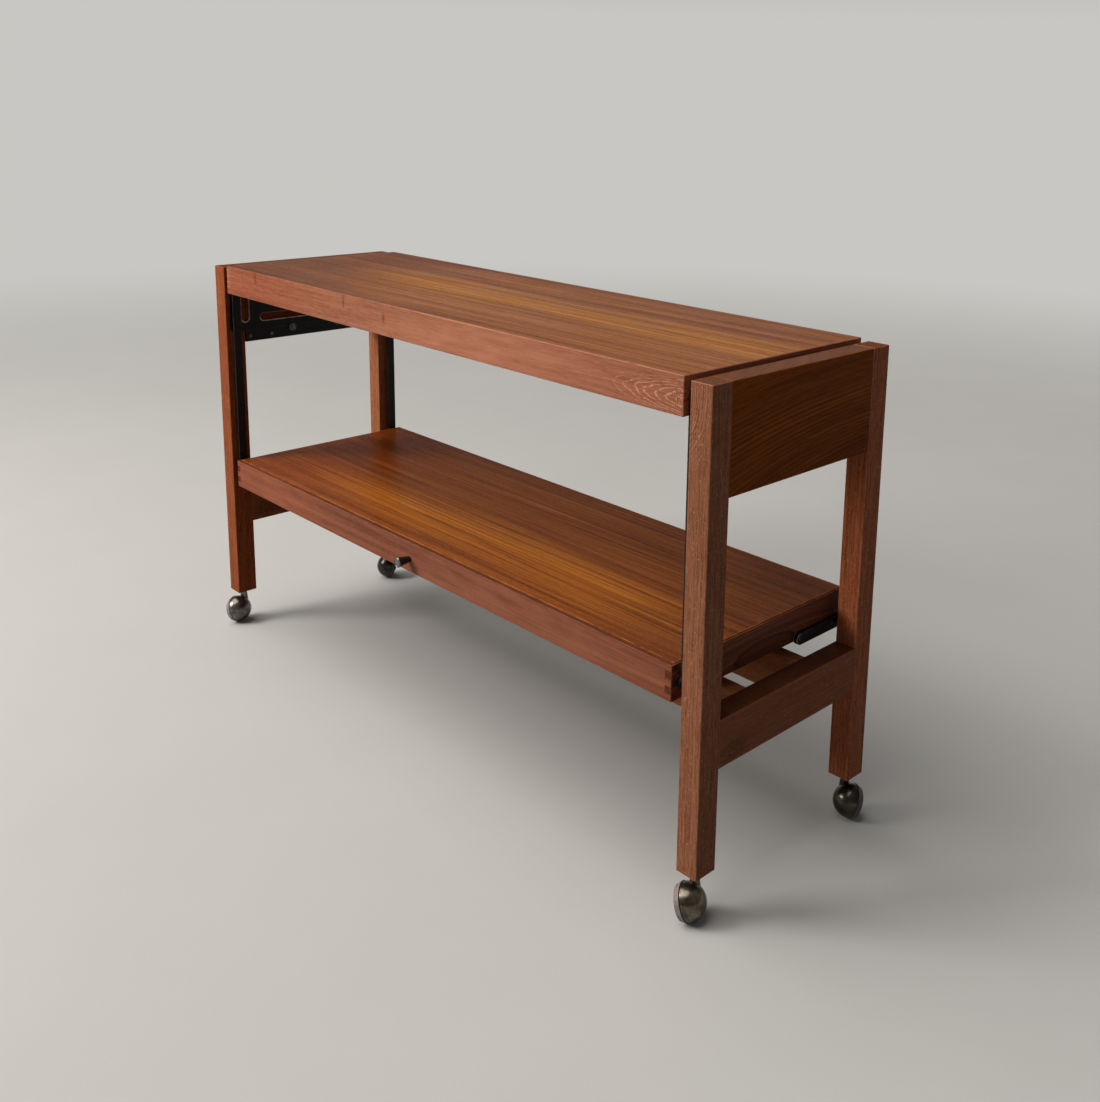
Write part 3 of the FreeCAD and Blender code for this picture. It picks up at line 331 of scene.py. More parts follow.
class Graph:
    """A tree's nodes, written as sums of sockets and numbers."""

    def __init__(self, tree):
        self.tree = tree

    def put(self, value, socket):
        if isinstance(value, bpy.types.NodeSocket):
            self.tree.links.new(value, socket)
        else:
            socket.default_value = value

    def math(self, operation, first, second=0.0, third=0.0):
        node = self.tree.nodes.new("ShaderNodeMath")
        node.operation = operation
        for value, socket in zip((first, second, third), node.inputs):
            self.put(value, socket)
        return node.outputs[0]

    def add(self, first, second):
        return self.math("ADD", first, second)

    def less(self, first, second):
        return self.math("SUBTRACT", first, second)

    def times(self, first, second):
        return self.math("MULTIPLY", first, second)

    def greater(self, first, second):
        return self.math("MAXIMUM", first, second)

    def smaller(self, first, second):
        return self.math("MINIMUM", first, second)

    def size(self, first, second):
        """Length of a vector of two parts."""
        return self.math("SQRT", self.add(self.times(first, first), self.times(second, second)))

    def away(self, value, middle):
        """How far a value is from a middle."""
        return self.math("ABSOLUTE", self.less(value, middle))

    def split(self, vector):
        node = self.tree.nodes.new("ShaderNodeSeparateXYZ")
        self.put(vector, node.inputs[0])
        return list(node.outputs)

    def join(self, x, y, z):
        node = self.tree.nodes.new("ShaderNodeCombineXYZ")
        for value, socket in zip((x, y, z), node.inputs):
            self.put(value, socket)
        return node.outputs[0]

    def noise(self, vector, scale=1.0, detail=2.0, rough=0.5):
        node = self.tree.nodes.new("ShaderNodeTexNoise")
        self.put(vector, node.inputs["Vector"])
        node.inputs["Scale"].default_value = scale
        node.inputs["Detail"].default_value = detail
        node.inputs["Roughness"].default_value = rough
        return node.outputs["Fac"]

    def step(self, value, low, high, start=0.0, stop=1.0):
        """Ease from start to stop as a value goes from low to high."""
        node = self.tree.nodes.new("ShaderNodeMapRange")
        node.interpolation_type = "SMOOTHSTEP"
        self.put(value, node.inputs["Value"])
        ends = {"From Min": low, "From Max": high, "To Min": start, "To Max": stop}
        for name, number in ends.items():
            node.inputs[name].default_value = number
        return node.outputs["Result"]

    def mix(self, share, first, second, kind="MIX"):
        node = self.tree.nodes.new("ShaderNodeMix")
        node.data_type = "RGBA"
        node.blend_type = kind
        self.put(share, node.inputs["Factor"])
        for value, name in ((first, "A"), (second, "B")):
            socket = next(item for item in node.inputs if item.name == name and item.type == "RGBA")
            self.put(value if isinstance(value, bpy.types.NodeSocket) else (*value, 1.0), socket)
        return next(item for item in node.outputs if item.type == "RGBA")

    def ramp(self, value, *stops):
        node = self.tree.nodes.new("ShaderNodeValToRGB")
        band = node.color_ramp
        while len(band.elements) < len(stops):
            band.elements.new(0.5)
        for element, (place, colour) in zip(band.elements, stops):
            element.position = place
            element.color = (*colour, 1.0)
        self.put(value, node.inputs[0])
        return node.outputs[0]

    def seen(self):
        """One where a ray shows the surroundings, zero where it only carries light."""
        path = self.tree.nodes.new("ShaderNodeLightPath").outputs
        share = self.greater(path["Is Camera Ray"], path["Is Glossy Ray"])
        return self.greater(share, path["Is Transmission Ray"])

    def blend(self, share, first, second, output):
        """Lead a mix of two shaders to an output."""
        node = self.tree.nodes.new("ShaderNodeMixShader")
        self.put(share, node.inputs["Fac"])
        self.tree.links.new(first.outputs[0], node.inputs[1])
        self.tree.links.new(second.outputs[0], node.inputs[2])
        self.tree.links.new(node.outputs[0], self.tree.nodes[output].inputs["Surface"])


class Coat(Graph):
    """A new material, whose nodes start from the place on the object and its normal."""

    def __init__(self, name):
        self.material = bpy.data.materials.new(name)
        self.material.use_nodes = True
        super().__init__(self.material.node_tree)
        self.shader = self.tree.nodes["Principled BSDF"]
        origin = self.tree.nodes.new("ShaderNodeTexCoord")
        self.place = origin.outputs["Object"]
        self.normal = origin.outputs["Normal"]

    def corner(self, radius):
        """How near a point is to a corner of the solid, from 0 on a flat face to 1."""
        rounded = self.tree.nodes.new("ShaderNodeBevel")
        rounded.samples = 6
        rounded.inputs["Radius"].default_value = radius
        true = self.tree.nodes.new("ShaderNodeNewGeometry")
        dot = self.tree.nodes.new("ShaderNodeVectorMath")
        dot.operation = "DOT_PRODUCT"
        self.tree.links.new(rounded.outputs["Normal"], dot.inputs[0])
        self.tree.links.new(true.outputs["Normal"], dot.inputs[1])
        return self.step(dot.outputs["Value"], 0.99, 0.80)

    def bump(self, height, distance, strength):
        node = self.tree.nodes.new("ShaderNodeBump")
        node.inputs["Strength"].default_value = strength
        node.inputs["Distance"].default_value = distance
        self.put(height, node.inputs["Height"])
        self.tree.links.new(node.outputs[0], self.shader.inputs["Normal"])

    def set(self, name, value):
        self.put(value, self.shader.inputs[name])


def dress(node, material):
    """Give a solid of the frame its finish."""
    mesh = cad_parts[node].data
    mesh.materials.clear()
    mesh.materials.append(material)


class Teak:
    """Oiled teak on one board, built up layer by layer."""

    # Steps from board to board in the log and from layer to layer; slope of rings through a board.
    log_pitch = 3.17
    layer_pitch = 7.3
    ring_tilt = 0.6

    def __init__(self, node, grain, across, colours, seed, figure,
                 log=Log(), roughness=0.42, sheen=0.06):
        self.node = node
        self.grain = grain
        self.deep, self.mid, self.pale = colours
        self.seed = seed
        self.figure = figure
        self.log = log
        self.roughness = roughness
        self.sheen = sheen
        self.graph = Coat(f"teak_{node}")
        self.spots = self.graph.split(self.graph.place)
        wide, thick = across
        low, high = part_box(node)
        self.along = self.spots[grain]
        self.wide = self.spots[wide]
        self.thick = self.graph.less(self.spots[thick], ((low + high) / 2)[thick])
        self.grow_rings()
        self.colour = self.spread_tone(self.deep, self.mid, self.pale)

    def drift(self, across, lengthwise, crosswise, layer, detail=2.0, rough=0.5):
        """Noise drawn out along the grain, in cycles per metre both ways."""
        g = self.graph
        place = g.join(g.times(self.run, lengthwise), g.times(across, crosswise), self.seed + layer)
        return g.noise(place, 1.0, detail, rough)

    def off(self, spot, sway=0.0):
        """How far a point is from a spot's middle, in the spot's half sizes."""
        g = self.graph
        length = g.times(g.add(g.less(self.along, spot.along), sway), 1.0 / spot.length)
        return g.size(length, g.times(g.less(self.wide, spot.wide), 1.0 / spot.height))

    def paint(self, share, colour, kind="MIX"):
        """Lay a colour over the layers so far."""
        self.colour = self.graph.mix(share, self.colour, colour, kind)

    def grow_rings(self):
        """Place each point in the log, and sum the grain's layers there."""
        g = self.graph
        self.run = g.add(self.along, self.seed * self.log_pitch)
        slow = g.times(self.drift(self.wide, 1.0, 4.0, 0.0), self.figure.sway)
        quick = g.times(self.drift(self.wide, 5.0, 16.0, 4.0), 0.25 * self.figure.sway)
        offset = g.add(g.less(self.wide, self.log.heart), g.add(slow, quick))
        tilt = g.times(self.thick, self.ring_tilt)
        if self.log.lean:
            depth = g.times(g.less(self.along, self.log.peak), self.log.lean)
            self.ring = g.size(offset, g.add(depth, tilt))
        else:
            self.ring = g.add(offset, tilt)
        self.tone = 0.0
        for number, (lengthwise, crosswise, share) in enumerate(self.figure.layers):
            layer = self.drift(
                self.ring, lengthwise, crosswise, self.layer_pitch * number, rough=0.55)
            self.tone = g.add(g.times(layer, share), self.tone)

    def spread_tone(self, deep, mid, pale):
        """Turn the summed layers into dark, main and light wood."""
        reach = self.figure.spread
        return self.graph.ramp(self.tone, (0.5 - reach, deep), (0.5, mid), (0.5 + reach, pale))

    def gild(self, colours, middle, reach, end, share):
        """Let the veneer turn golden in a band along the panel that fades out at both ends."""
        g = self.graph
        wander = g.times(g.less(self.drift(self.wide, 1.3, 6.0, 2.0), 0.5), 0.10)
        band = g.step(g.away(g.add(self.wide, wander), middle), 0.0, reach, 1.0, 0.0)
        band = g.times(g.times(band, share), g.step(self.along, -0.52, -0.30, 0.25, 1.0))
        band = g.times(band, g.step(self.along, end, end + 0.16, 1.0, 0.20))
        self.paint(band, self.spread_tone(*colours))

    def redden(self, tone, start, stop):
        """Let the wood change its tone from one place along the board to another."""
        g = self.graph
        wander = g.times(g.less(self.drift(self.ring, 2.0, 24.0, 6.0), 0.5), 0.30)
        self.paint(g.step(g.add(self.along, wander), start, stop), tone, "MULTIPLY")

    def draw_lines(self):
        """Dark late-wood lines, and arches where the board was cut near the heart."""
        g = self.graph
        late = self.drift(self.ring, 0.7, 1.0 / self.figure.line_pitch, 9.0, rough=0.6)
        self.paint(g.times(g.step(late, 0.56, 0.68), self.figure.lines), self.deep)
        if self.log.arches:
            self.draw_arches(self.log)

    def draw_arches(self, log):
        """Dark arches, strongest low on the board and weaker in patches."""
        g = self.graph
        wobble = g.times(self.drift(self.ring, 4.0, 90.0, 0.0), 5.0)
        turn = g.add(g.times(self.ring, 2.0 * math.pi / log.arch_pitch), wobble)
        wave = g.step(g.math("SINE", turn), 0.05, 0.90)
        fade = g.step(self.wide, log.arch_ceiling, log.arch_floor)
        patch = self.drift(self.ring, 5.0, 30.0, 1.0)
        share = g.step(patch, 0.25, 0.62, 0.35 * log.arches, log.arches)
        self.paint(g.times(g.times(wave, fade), share), self.deep)

    def draw_rings(self, pitch, share):
        """Growth rings: each starts as a sharp dark line and fades out."""
        g = self.graph
        wander = g.times(self.drift(self.ring, 0.45, 0.2 / pitch, 11.0), 3.5)
        part = g.math("FRACT", g.add(g.times(self.ring, 1.0 / pitch), wander))
        patch = self.drift(self.ring, 0.9, 0.4 / pitch, 13.0)
        strength = g.step(patch, 0.32, 0.66, 0.15 * share, share)
        self.paint(g.times(g.step(part, 0.55, 0.0), strength), scaled(self.deep, 0.9))

    def prick_pores(self):
        """Short open pores along the grain, and light flecks between them."""
        g = self.graph
        fine = 1.0 / self.figure.fleck_width
        share = 0.8 * self.figure.fleck
        place = g.join(
            g.times(self.run, 0.08 * fine), g.times(self.wide, fine), g.times(self.thick, fine))
        self.pores = g.step(g.noise(place, 1.0, 1.0, 0.5), 0.57, 0.69)
        self.paint(g.times(self.pores, share), scaled(self.deep, 0.6))
        lean = g.times(self.run, self.figure.slant * fine)
        place = g.join(
            g.times(self.run, 0.16 * fine),
            g.add(g.times(self.wide, 0.9 * fine), lean),
            g.add(g.times(self.thick, 0.9 * fine), lean))
        flecks = g.step(g.noise(place, 1.0, 1.0, 0.5), 0.58, 0.70)
        self.paint(g.times(flecks, share), scaled(self.pale, 1.12))

    def curl(self, along, wide, stretch, pitch, reach, share):
        """Light curved lines round a knot."""
        g = self.graph
        place = g.join(g.times(self.along, 40.0), g.times(self.wide, 90.0), self.seed)
        wobble = g.times(g.noise(place, 1.0, 2.0, 0.5), 1.3 * pitch)
        length = g.times(g.less(self.along, along), 1.0 / stretch)
        ring = g.add(g.size(length, g.less(self.wide, wide)), wobble)
        lines = g.step(g.math("SINE", g.times(ring, 2.0 * math.pi / pitch)), 0.45, 0.97)
        near = g.step(ring, reach, 0.7 * reach)
        broken = g.step(g.noise(g.place, 190.0, 2.0, 0.5), 0.34, 0.58)
        self.paint(g.times(g.times(lines, near), g.times(broken, share)), scaled(self.pale, 1.45))

    def bloom(self, spot, colour):
        """A stretch of another colour that fades out softly: darker wood along the panels' front
        edges, painted pools of light on the rails, painted shadow at the leaf's rear-left corner.
        """
        g = self.graph
        near = g.step(self.off(spot), 1.0, 0.25)
        patch = g.step(self.drift(self.ring, 14.0, 60.0, 5.0, detail=3.0), 0.30, 0.70, 0.45, 1.0)
        self.paint(g.times(near, g.times(patch, spot.share)), colour)

    def mark(self, spot, colour):
        """One small patch with a broken edge: an old scuff on the rails, a darker patch on the end
        stretchers.
        """
        g = self.graph
        sway = g.times(g.less(g.noise(g.place, 120.0, 2.0, 0.6), 0.5), 0.006)
        near = g.step(self.off(spot, sway), 1.0, 0.25)
        broken = g.step(g.noise(g.place, 260.0, 3.0, 0.6), 0.34, 0.62)
        self.paint(g.times(near, g.times(broken, spot.share)), colour)

    def eye(self, spot):
        """A dark lens-shaped figure with a darker outline."""
        g = self.graph
        wobble = g.times(g.less(g.noise(g.place, 60.0, 2.0, 0.6), 0.5), 0.22)
        far = g.add(wobble, self.off(spot))
        fill = g.times(g.step(far, 1.02, 0.86), 0.55 * spot.share)
        outline = g.times(g.step(g.away(far, 0.95), 0.16, 0.03), spot.share)
        self.paint(g.greater(fill, outline), scaled(self.deep, 0.75))

    def fingers(self, shares, colour, share, width):
        """Glue lines round the fingers at both ends of a tier's rails."""
        g = self.graph
        tier = self.node.partition("_")[0]
        low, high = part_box(f"{tier}_rail_front")
        x = g.away(self.spots[X], (low.x + high.x) / 2)
        z = self.spots[Z]
        shoulder = (high.x - low.x) / 2 - RAIL_THICKNESS
        levels = [low.z + item * TIER_HEIGHT for item in shares]
        nearest = 1.0
        for level in levels:
            nearest = g.smaller(g.away(z, level), nearest)
        flat = g.times(g.step(nearest, width, 0.4 * width), g.step(x, shoulder - 0.0006, shoulder))
        inside = 0.0
        for start, stop in zip(levels[0::2], levels[1::2]):
            finger = g.times(g.step(z, start - 0.0003, start), g.step(z, stop + 0.0003, stop))
            inside = g.add(finger, inside)
        upright = g.times(g.step(g.away(x, shoulder), width, 0.4 * width), inside)
        broken = g.step(g.noise(g.place, 420.0, 2.0, 0.6), 0.26, 0.46)
        facing = g.step(g.math("ABSOLUTE", g.split(g.normal)[Y]), 0.6, 0.9)
        line = g.times(g.greater(flat, upright), facing)
        self.paint(g.times(line, g.times(broken, share)), colour)

    def close_ends(self, darkness):
        """End grain, darker and speckled."""
        g = self.graph
        self.end = g.step(g.math("ABSOLUTE", g.split(g.normal)[self.grain]), 0.75, 0.9)
        speck = g.noise(g.place, 900.0, 2.0, 0.6)
        place = g.join(g.times(self.wide, 420.0), g.times(self.thick, 160.0), self.seed)
        rings = g.noise(place, 1.0, 2.0, 0.5)
        tone = g.add(g.times(speck, 0.5), g.times(rings, 0.5))
        dark, main, light = (scaled(item, darkness) for item in (self.deep, self.mid, self.pale))
        self.paint(self.end, g.ramp(tone, (0.36, dark), (0.52, main), (0.70, light)))

    def wear_and_highlight_edges(self, reach, share, start=None):
        """Arrises rubbed lighter, partly wear and partly a painted highlight along the edges; less
        so before a given place along the board.
        """
        g = self.graph
        low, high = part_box(self.node)
        x, y, z = (g.smaller(g.less(place, low[axis]), g.less(high[axis], place))
                   for axis, place in enumerate(self.spots))
        least = g.smaller(g.smaller(x, y), z)
        most = g.greater(g.greater(x, y), z)
        middle = g.less(g.less(g.add(g.add(x, y), z), least), most)
        arris = g.step(middle, reach, 0.35 * reach)
        rubbed = g.step(g.noise(g.place, 46.0, 3.0, 0.6), 0.36, 0.62, 0.30, 1.0)
        if start is not None:
            rubbed = g.times(rubbed, g.step(self.along, start, start + 0.4, 0.15, 1.0))
        self.paint(g.times(arris, g.times(rubbed, share)), scaled(self.pale, 1.3))

    def darken_tops(self, share, colour=None):
        """Darken the upward faces in patches, with a given colour or the board's dark one."""
        g = self.graph
        upward = g.step(g.split(g.normal)[Z], 0.80, 0.95)
        patchy = g.step(g.noise(g.place, 30.0, 3.0, 0.6), 0.25, 0.70, 0.75, 1.0)
        self.paint(g.times(upward, g.times(patchy, share)), colour or scaled(self.deep, 0.55))

    def spatter(self, colour, share, scale, least):
        """A few pale specks of old paint or polish."""
        g = self.graph
        specks = g.step(g.noise(g.place, scale, 1.0, 0.5), least, least + 0.03)
        self.paint(g.times(specks, share), colour)

    def finish(self):
        """Join the layers to the shader."""
        g = self.graph
        g.set("Base Color", self.colour)
        smear = g.noise(g.place, 6.0, 3.0, 0.6)
        rough = g.add(g.times(smear, 0.20), self.roughness - 0.10)
        rough = g.add(rough, g.times(self.pores, 0.14))
        g.set("Roughness", g.add(rough, g.times(self.end, 0.20)))
        g.set("Specular IOR Level", self.sheen)
        place = g.join(
            g.times(self.run, 22.0), g.times(self.wide, 1900.0), g.times(self.thick, 1900.0))
        fibre = g.noise(place, 1.0, 1.0, 0.5)
        relief = g.add(g.times(fibre, 0.4), g.times(g.less(1.0, self.pores), 0.6))
        g.bump(relief, distance=0.00014, strength=0.5)
        dress(self.node, g.material)


def enamel(node, metal, nose=None, slots=()):
    """Black enamel on steel, rubbed bright at its edges; a bracket's nose and the slots' lower lips
    get a near-white colour that is partly bare steel and partly a painted glint.
    """
    g = Coat(f"enamel_{node}")
    mottle = g.noise(g.place, 60.0, 3.0, 0.6)
    fine = g.noise(g.place, 900.0, 2.0, 0.6)
    colour = g.ramp(mottle, (0.35, scaled(metal.enamel, 0.8)), (0.70, scaled(metal.enamel, 1.8)))
    rub = g.step(g.noise(g.place, 120.0, 3.0, 0.65), 0.40, 0.60)
    worn = g.times(g.corner(0.0009), g.add(g.times(rub, 0.60), 0.08))
    chip = g.step(g.noise(g.place, 210.0, 2.0, 0.5), 0.74, 0.78)
    worn = g.greater(worn, g.times(chip, 0.5))
    _, y, z = g.split(g.place)
    bright = 0.0
    if nose is not None:
        # The nose's tip and its upward-facing rim are painted near-white: bare steel and a painted
        # glint.
        tip = g.step(g.away(y, nose), 0.0100, 0.0040)
        upper = g.times(g.corner(0.0012), g.step(g.split(g.normal)[Z], 0.1, 0.6))
        rubbed = g.times(upper, g.add(g.times(rub, 0.5), 0.2))
        bright = g.greater(g.times(tip, g.corner(0.0022)), rubbed)
    # The lower half of each slot's lip is painted near-white: rubbed steel and a painted glint on
    # the rim that faces up.
    for slot in slots:
        along = g.smaller(g.greater(y, slot.start[0]), slot.stop[0])
        rise = g.less(z, g.smaller(g.greater(z, slot.start[1]), slot.stop[1]))
        outside = g.less(g.size(g.less(y, along), rise), slot.radius)
        lower = g.step(rise, 0.3 * slot.radius, -0.5 * slot.radius, 0.25, 1.0)
        lip = g.times(g.step(outside, 0.0022, 0.0012), lower)
        bright = g.greater(bright, g.times(lip, g.add(g.times(rub, 0.4), 0.6)))
    colour = g.mix(worn, colour, scaled(metal.bare, 0.6))
    g.set("Base Color", g.mix(bright, colour, metal.lip))
    g.set("Metallic", g.times(worn, 0.8))
    g.set("Roughness", g.add(g.times(mottle, 0.24), 0.34))
    g.set("Specular IOR Level", 0.18)
    g.bump(g.add(g.times(fine, 0.5), mottle), distance=0.00008, strength=0.5)
    dress(node, g.material)


def blackened_steel(metal):
    """Oil-blackened steel of the pins, screws and studs, with bright rubbed corners."""
    g = Coat("blackened_steel")
    cloud = g.noise(g.place, 160.0, 3.0, 0.6)
    main = metal.fastener
    colour = g.ramp(cloud, (0.3, scaled(main, 0.4)), (0.55, main), (0.75, scaled(main, 2.2)))
    rub = g.step(g.noise(g.place, 300.0, 2.0, 0.6), 0.42, 0.60)
    worn = g.times(g.corner(0.0005), g.add(g.times(rub, 0.6), 0.2))
    g.set("Base Color", g.mix(worn, colour, metal.bare))
    g.set("Metallic", 1.0)
    g.set("Roughness", g.add(g.times(cloud, 0.25), 0.22))
    g.bump(g.noise(g.place, 1400.0, 2.0, 0.6), distance=0.00005, strength=0.4)
    return g.material


def bronze(metal, corner):
    """Lacquered bronze of one caster, darker where the lacquer has dulled; the rear casters are
    darkened further as painted shade.
    """
    g = Coat(f"bronze_{corner}")
    cloud = g.noise(g.place, 85.0, 4.0, 0.62)
    speck = g.noise(g.place, 620.0, 2.0, 0.6)
    tone = g.add(g.times(cloud, 0.75), g.times(speck, 0.25))
    main = stained(metal.bronze, CASTER_TONES_AND_SHADE[corner])
    dark = stained(metal.bronze_dark, CASTER_TONES_AND_SHADE[corner])
    colour = g.ramp(tone, (0.34, dark), (0.56, main), (0.76, scaled(main, 1.5)))
    g.set("Base Color", colour)
    g.set("Metallic", 0.9)
    g.set("Roughness", g.add(g.times(cloud, 0.26), 0.11))
    g.bump(tone, distance=0.00012, strength=0.4)
    return g.material


def worn_tread(metal, corner):
    """Ring that one caster runs on, scuffed and specked with dirt; the rear casters' rings are
    darkened as painted shade.
    """
    g = Coat(f"tread_{corner}")
    cloud = g.noise(g.place, 70.0, 3.0, 0.6)
    dirt = g.step(g.noise(g.place, 380.0, 3.0, 0.6), 0.54, 0.68)
    main = stained(metal.tread, CASTER_TONES_AND_SHADE[corner])
    colour = g.ramp(cloud, (0.3, scaled(main, 0.6)), (0.6, main), (0.8, scaled(main, 1.25)))
    g.set("Base Color", g.mix(g.times(dirt, 0.6), colour, scaled(main, 0.16)))
    g.set("Roughness", g.add(g.times(cloud, 0.2), 0.42))
    g.bump(g.add(dirt, cloud), distance=0.0001, strength=0.5)
    return g.material


def knob_finish(metal):
    """Black knob whose front face is rubbed to grey metal."""
    g = Coat("knob_black")
    low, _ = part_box("pull_knob")
    front = g.less(g.split(g.place)[Y], low.y)
    facing = g.step(g.times(g.split(g.normal)[Y], -1.0), 0.30, 0.70)
    cap = g.times(g.step(front, 0.0030, 0.0010), facing)
    cloud = g.noise(g.place, 300.0, 3.0, 0.6)
    grey = g.ramp(cloud, (0.3, scaled(metal.knob_face, 0.55)), (0.7, scaled(metal.knob_face, 1.3)))
    body = g.ramp(cloud, (0.3, metal.knob), (0.8, scaled(metal.knob, 2.5)))
    g.set("Base Color", g.mix(cap, body, grey))
    g.set("Metallic", g.times(cap, 0.6))
    g.set("Roughness", g.add(g.times(cloud, 0.2), 0.26))
    g.bump(cloud, distance=0.00005, strength=0.4)
    return g.material


class TROLLEY_OT_tiers(bpy.types.Operator):
    """Finish the veneered panels and the rails round them"""
    bl_idname = "trolley.tiers"
    bl_label = "Top and Leaf"

    def execute(self, context):
        wood = context.scene.trolley_wood
        for number, (tier, look) in enumerate(VENEERS.items(), start=1):
            self.panel(wood, tier, look)
            for step, side in enumerate(LONG_SIDES):
                self.long_rail(wood, tier, side, 5.0 * number + step)
            for step, side in enumerate(SIDES):
                self.end_rail(wood, tier, side, 7.0 * number + 20.0 + step)
        return {"FINISHED"}

    def panel(self, wood, tier, look):
        board = Teak(f"{tier}_panel", X, (Y, Z), palette(wood, "veneer", look.plain), look.seed,
                     VENEER_GRAIN, roughness=wood.polish - 0.10, sheen=look.sheen)
        board.gild(palette(wood, "gold", look.gold), look.gold_middle, look.gold_reach,
                   look.gold_end, share=0.9)
        board.redden(look.left_end, start=-0.12, stop=-0.56)
        if tier == "leaf":
            # Darker right end: painted shade of the front-right leg.
            board.redden(LEAF_RIGHT_END_PAINTED_SHADE, start=0.37, stop=0.52)
            # Dark rear-left corner: painted shadow.
            board.bloom(LEAF_CORNER_PAINTED_SHADOW, scaled(wood.veneer_deep, 0.7))
            board.bloom(LEAF_FRONT_STRIP, wood.veneer_deep)
        else:
            board.bloom(TOP_FRONT_STRIP, wood.veneer_deep)
        board.draw_lines()
        board.draw_rings(pitch=0.0105, share=look.rings)
        board.prick_pores()
        board.close_ends(darkness=0.8)
        board.wear_and_highlight_edges(reach=0.0016, share=0.85)
        board.finish()

    def long_rail(self, wood, tier, side, seed):
        name = f"{tier}_rail_{side}"
        low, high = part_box(name)
        board = Teak(name, X, (Z, Y), palette(wood, f"{tier}_rail"), seed,
                     RAIL_GRAIN if tier == "top" else STRIPED_GRAIN, roughness=wood.polish)
        board.draw_lines()
        if tier == "top":
            board.redden(TOP_RAIL_LEFT_END, start=-0.10, stop=-0.54)
            board.prick_pores()
            board.curl(along=high.x + 0.090, wide=low.z + 0.022,
                       stretch=7.5, pitch=0.0024, reach=0.034, share=0.90)
            # Lighter stretches: painted light where the light falls brighter on the rail.
            for spot, tone in TOP_RAIL_PAINTED_LIGHT:
                board.bloom(spot.placed(low.z), stained(wood.top_rail_pale, tone))
            for spot in TOP_SCUFFS:
                board.mark(spot.placed(high.z), scaled(wood.top_rail_deep, 0.55))
        else:
            board.draw_rings(pitch=0.0075, share=0.35)
            board.prick_pores()
            for spot in LEAF_SCUFFS:
                board.mark(spot.placed(high.z), scaled(wood.leaf_rail_deep, 0.7))
            # Lighter stretches: painted light, the right one with a painted greyish sheen.
            for spot, tone in LEAF_RAIL_PAINTED_LIGHT:
                board.bloom(spot.placed(low.z), stained(wood.leaf_rail_pale, tone))
        self.close(board, wood, tier)

    def end_rail(self, wood, tier, side, seed):
        name = f"{tier}_rail_{side}"
        low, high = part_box(name)
        log = Log(heart=low.z - 0.02, lean=0.20, peak=0.03, arches=0.35, arch_pitch=0.006,
                  arch_floor=low.z + 0.01, arch_ceiling=high.z + 0.02)
        board = Teak(name, Y, (Z, X), palette(wood, f"{tier}_rail"), seed, STRIPED_GRAIN, log,
                     roughness=wood.polish)
        board.draw_lines()
        board.prick_pores()
        if tier == "leaf":
            board.eye(LEAF_EYE.placed(low.z))
        self.close(board, wood, tier)

    def close(self, board, wood, tier):
        if tier == "top":
            board.darken_tops(share=0.60)
            board.close_ends(darkness=1.12)
            board.fingers(TOP_FINGERS, wood.glue, share=0.90, width=0.0010)
            board.wear_and_highlight_edges(reach=0.0012, share=0.60, start=-0.25)
        else:
            board.darken_tops(share=0.72)
            board.close_ends(darkness=0.58)
            glue = scaled(wood.leaf_rail_deep, 0.35)
            board.fingers(LEAF_FINGERS, glue, share=0.7, width=0.0005)
            board.wear_and_highlight_edges(reach=0.0013, share=0.72)
        board.finish()


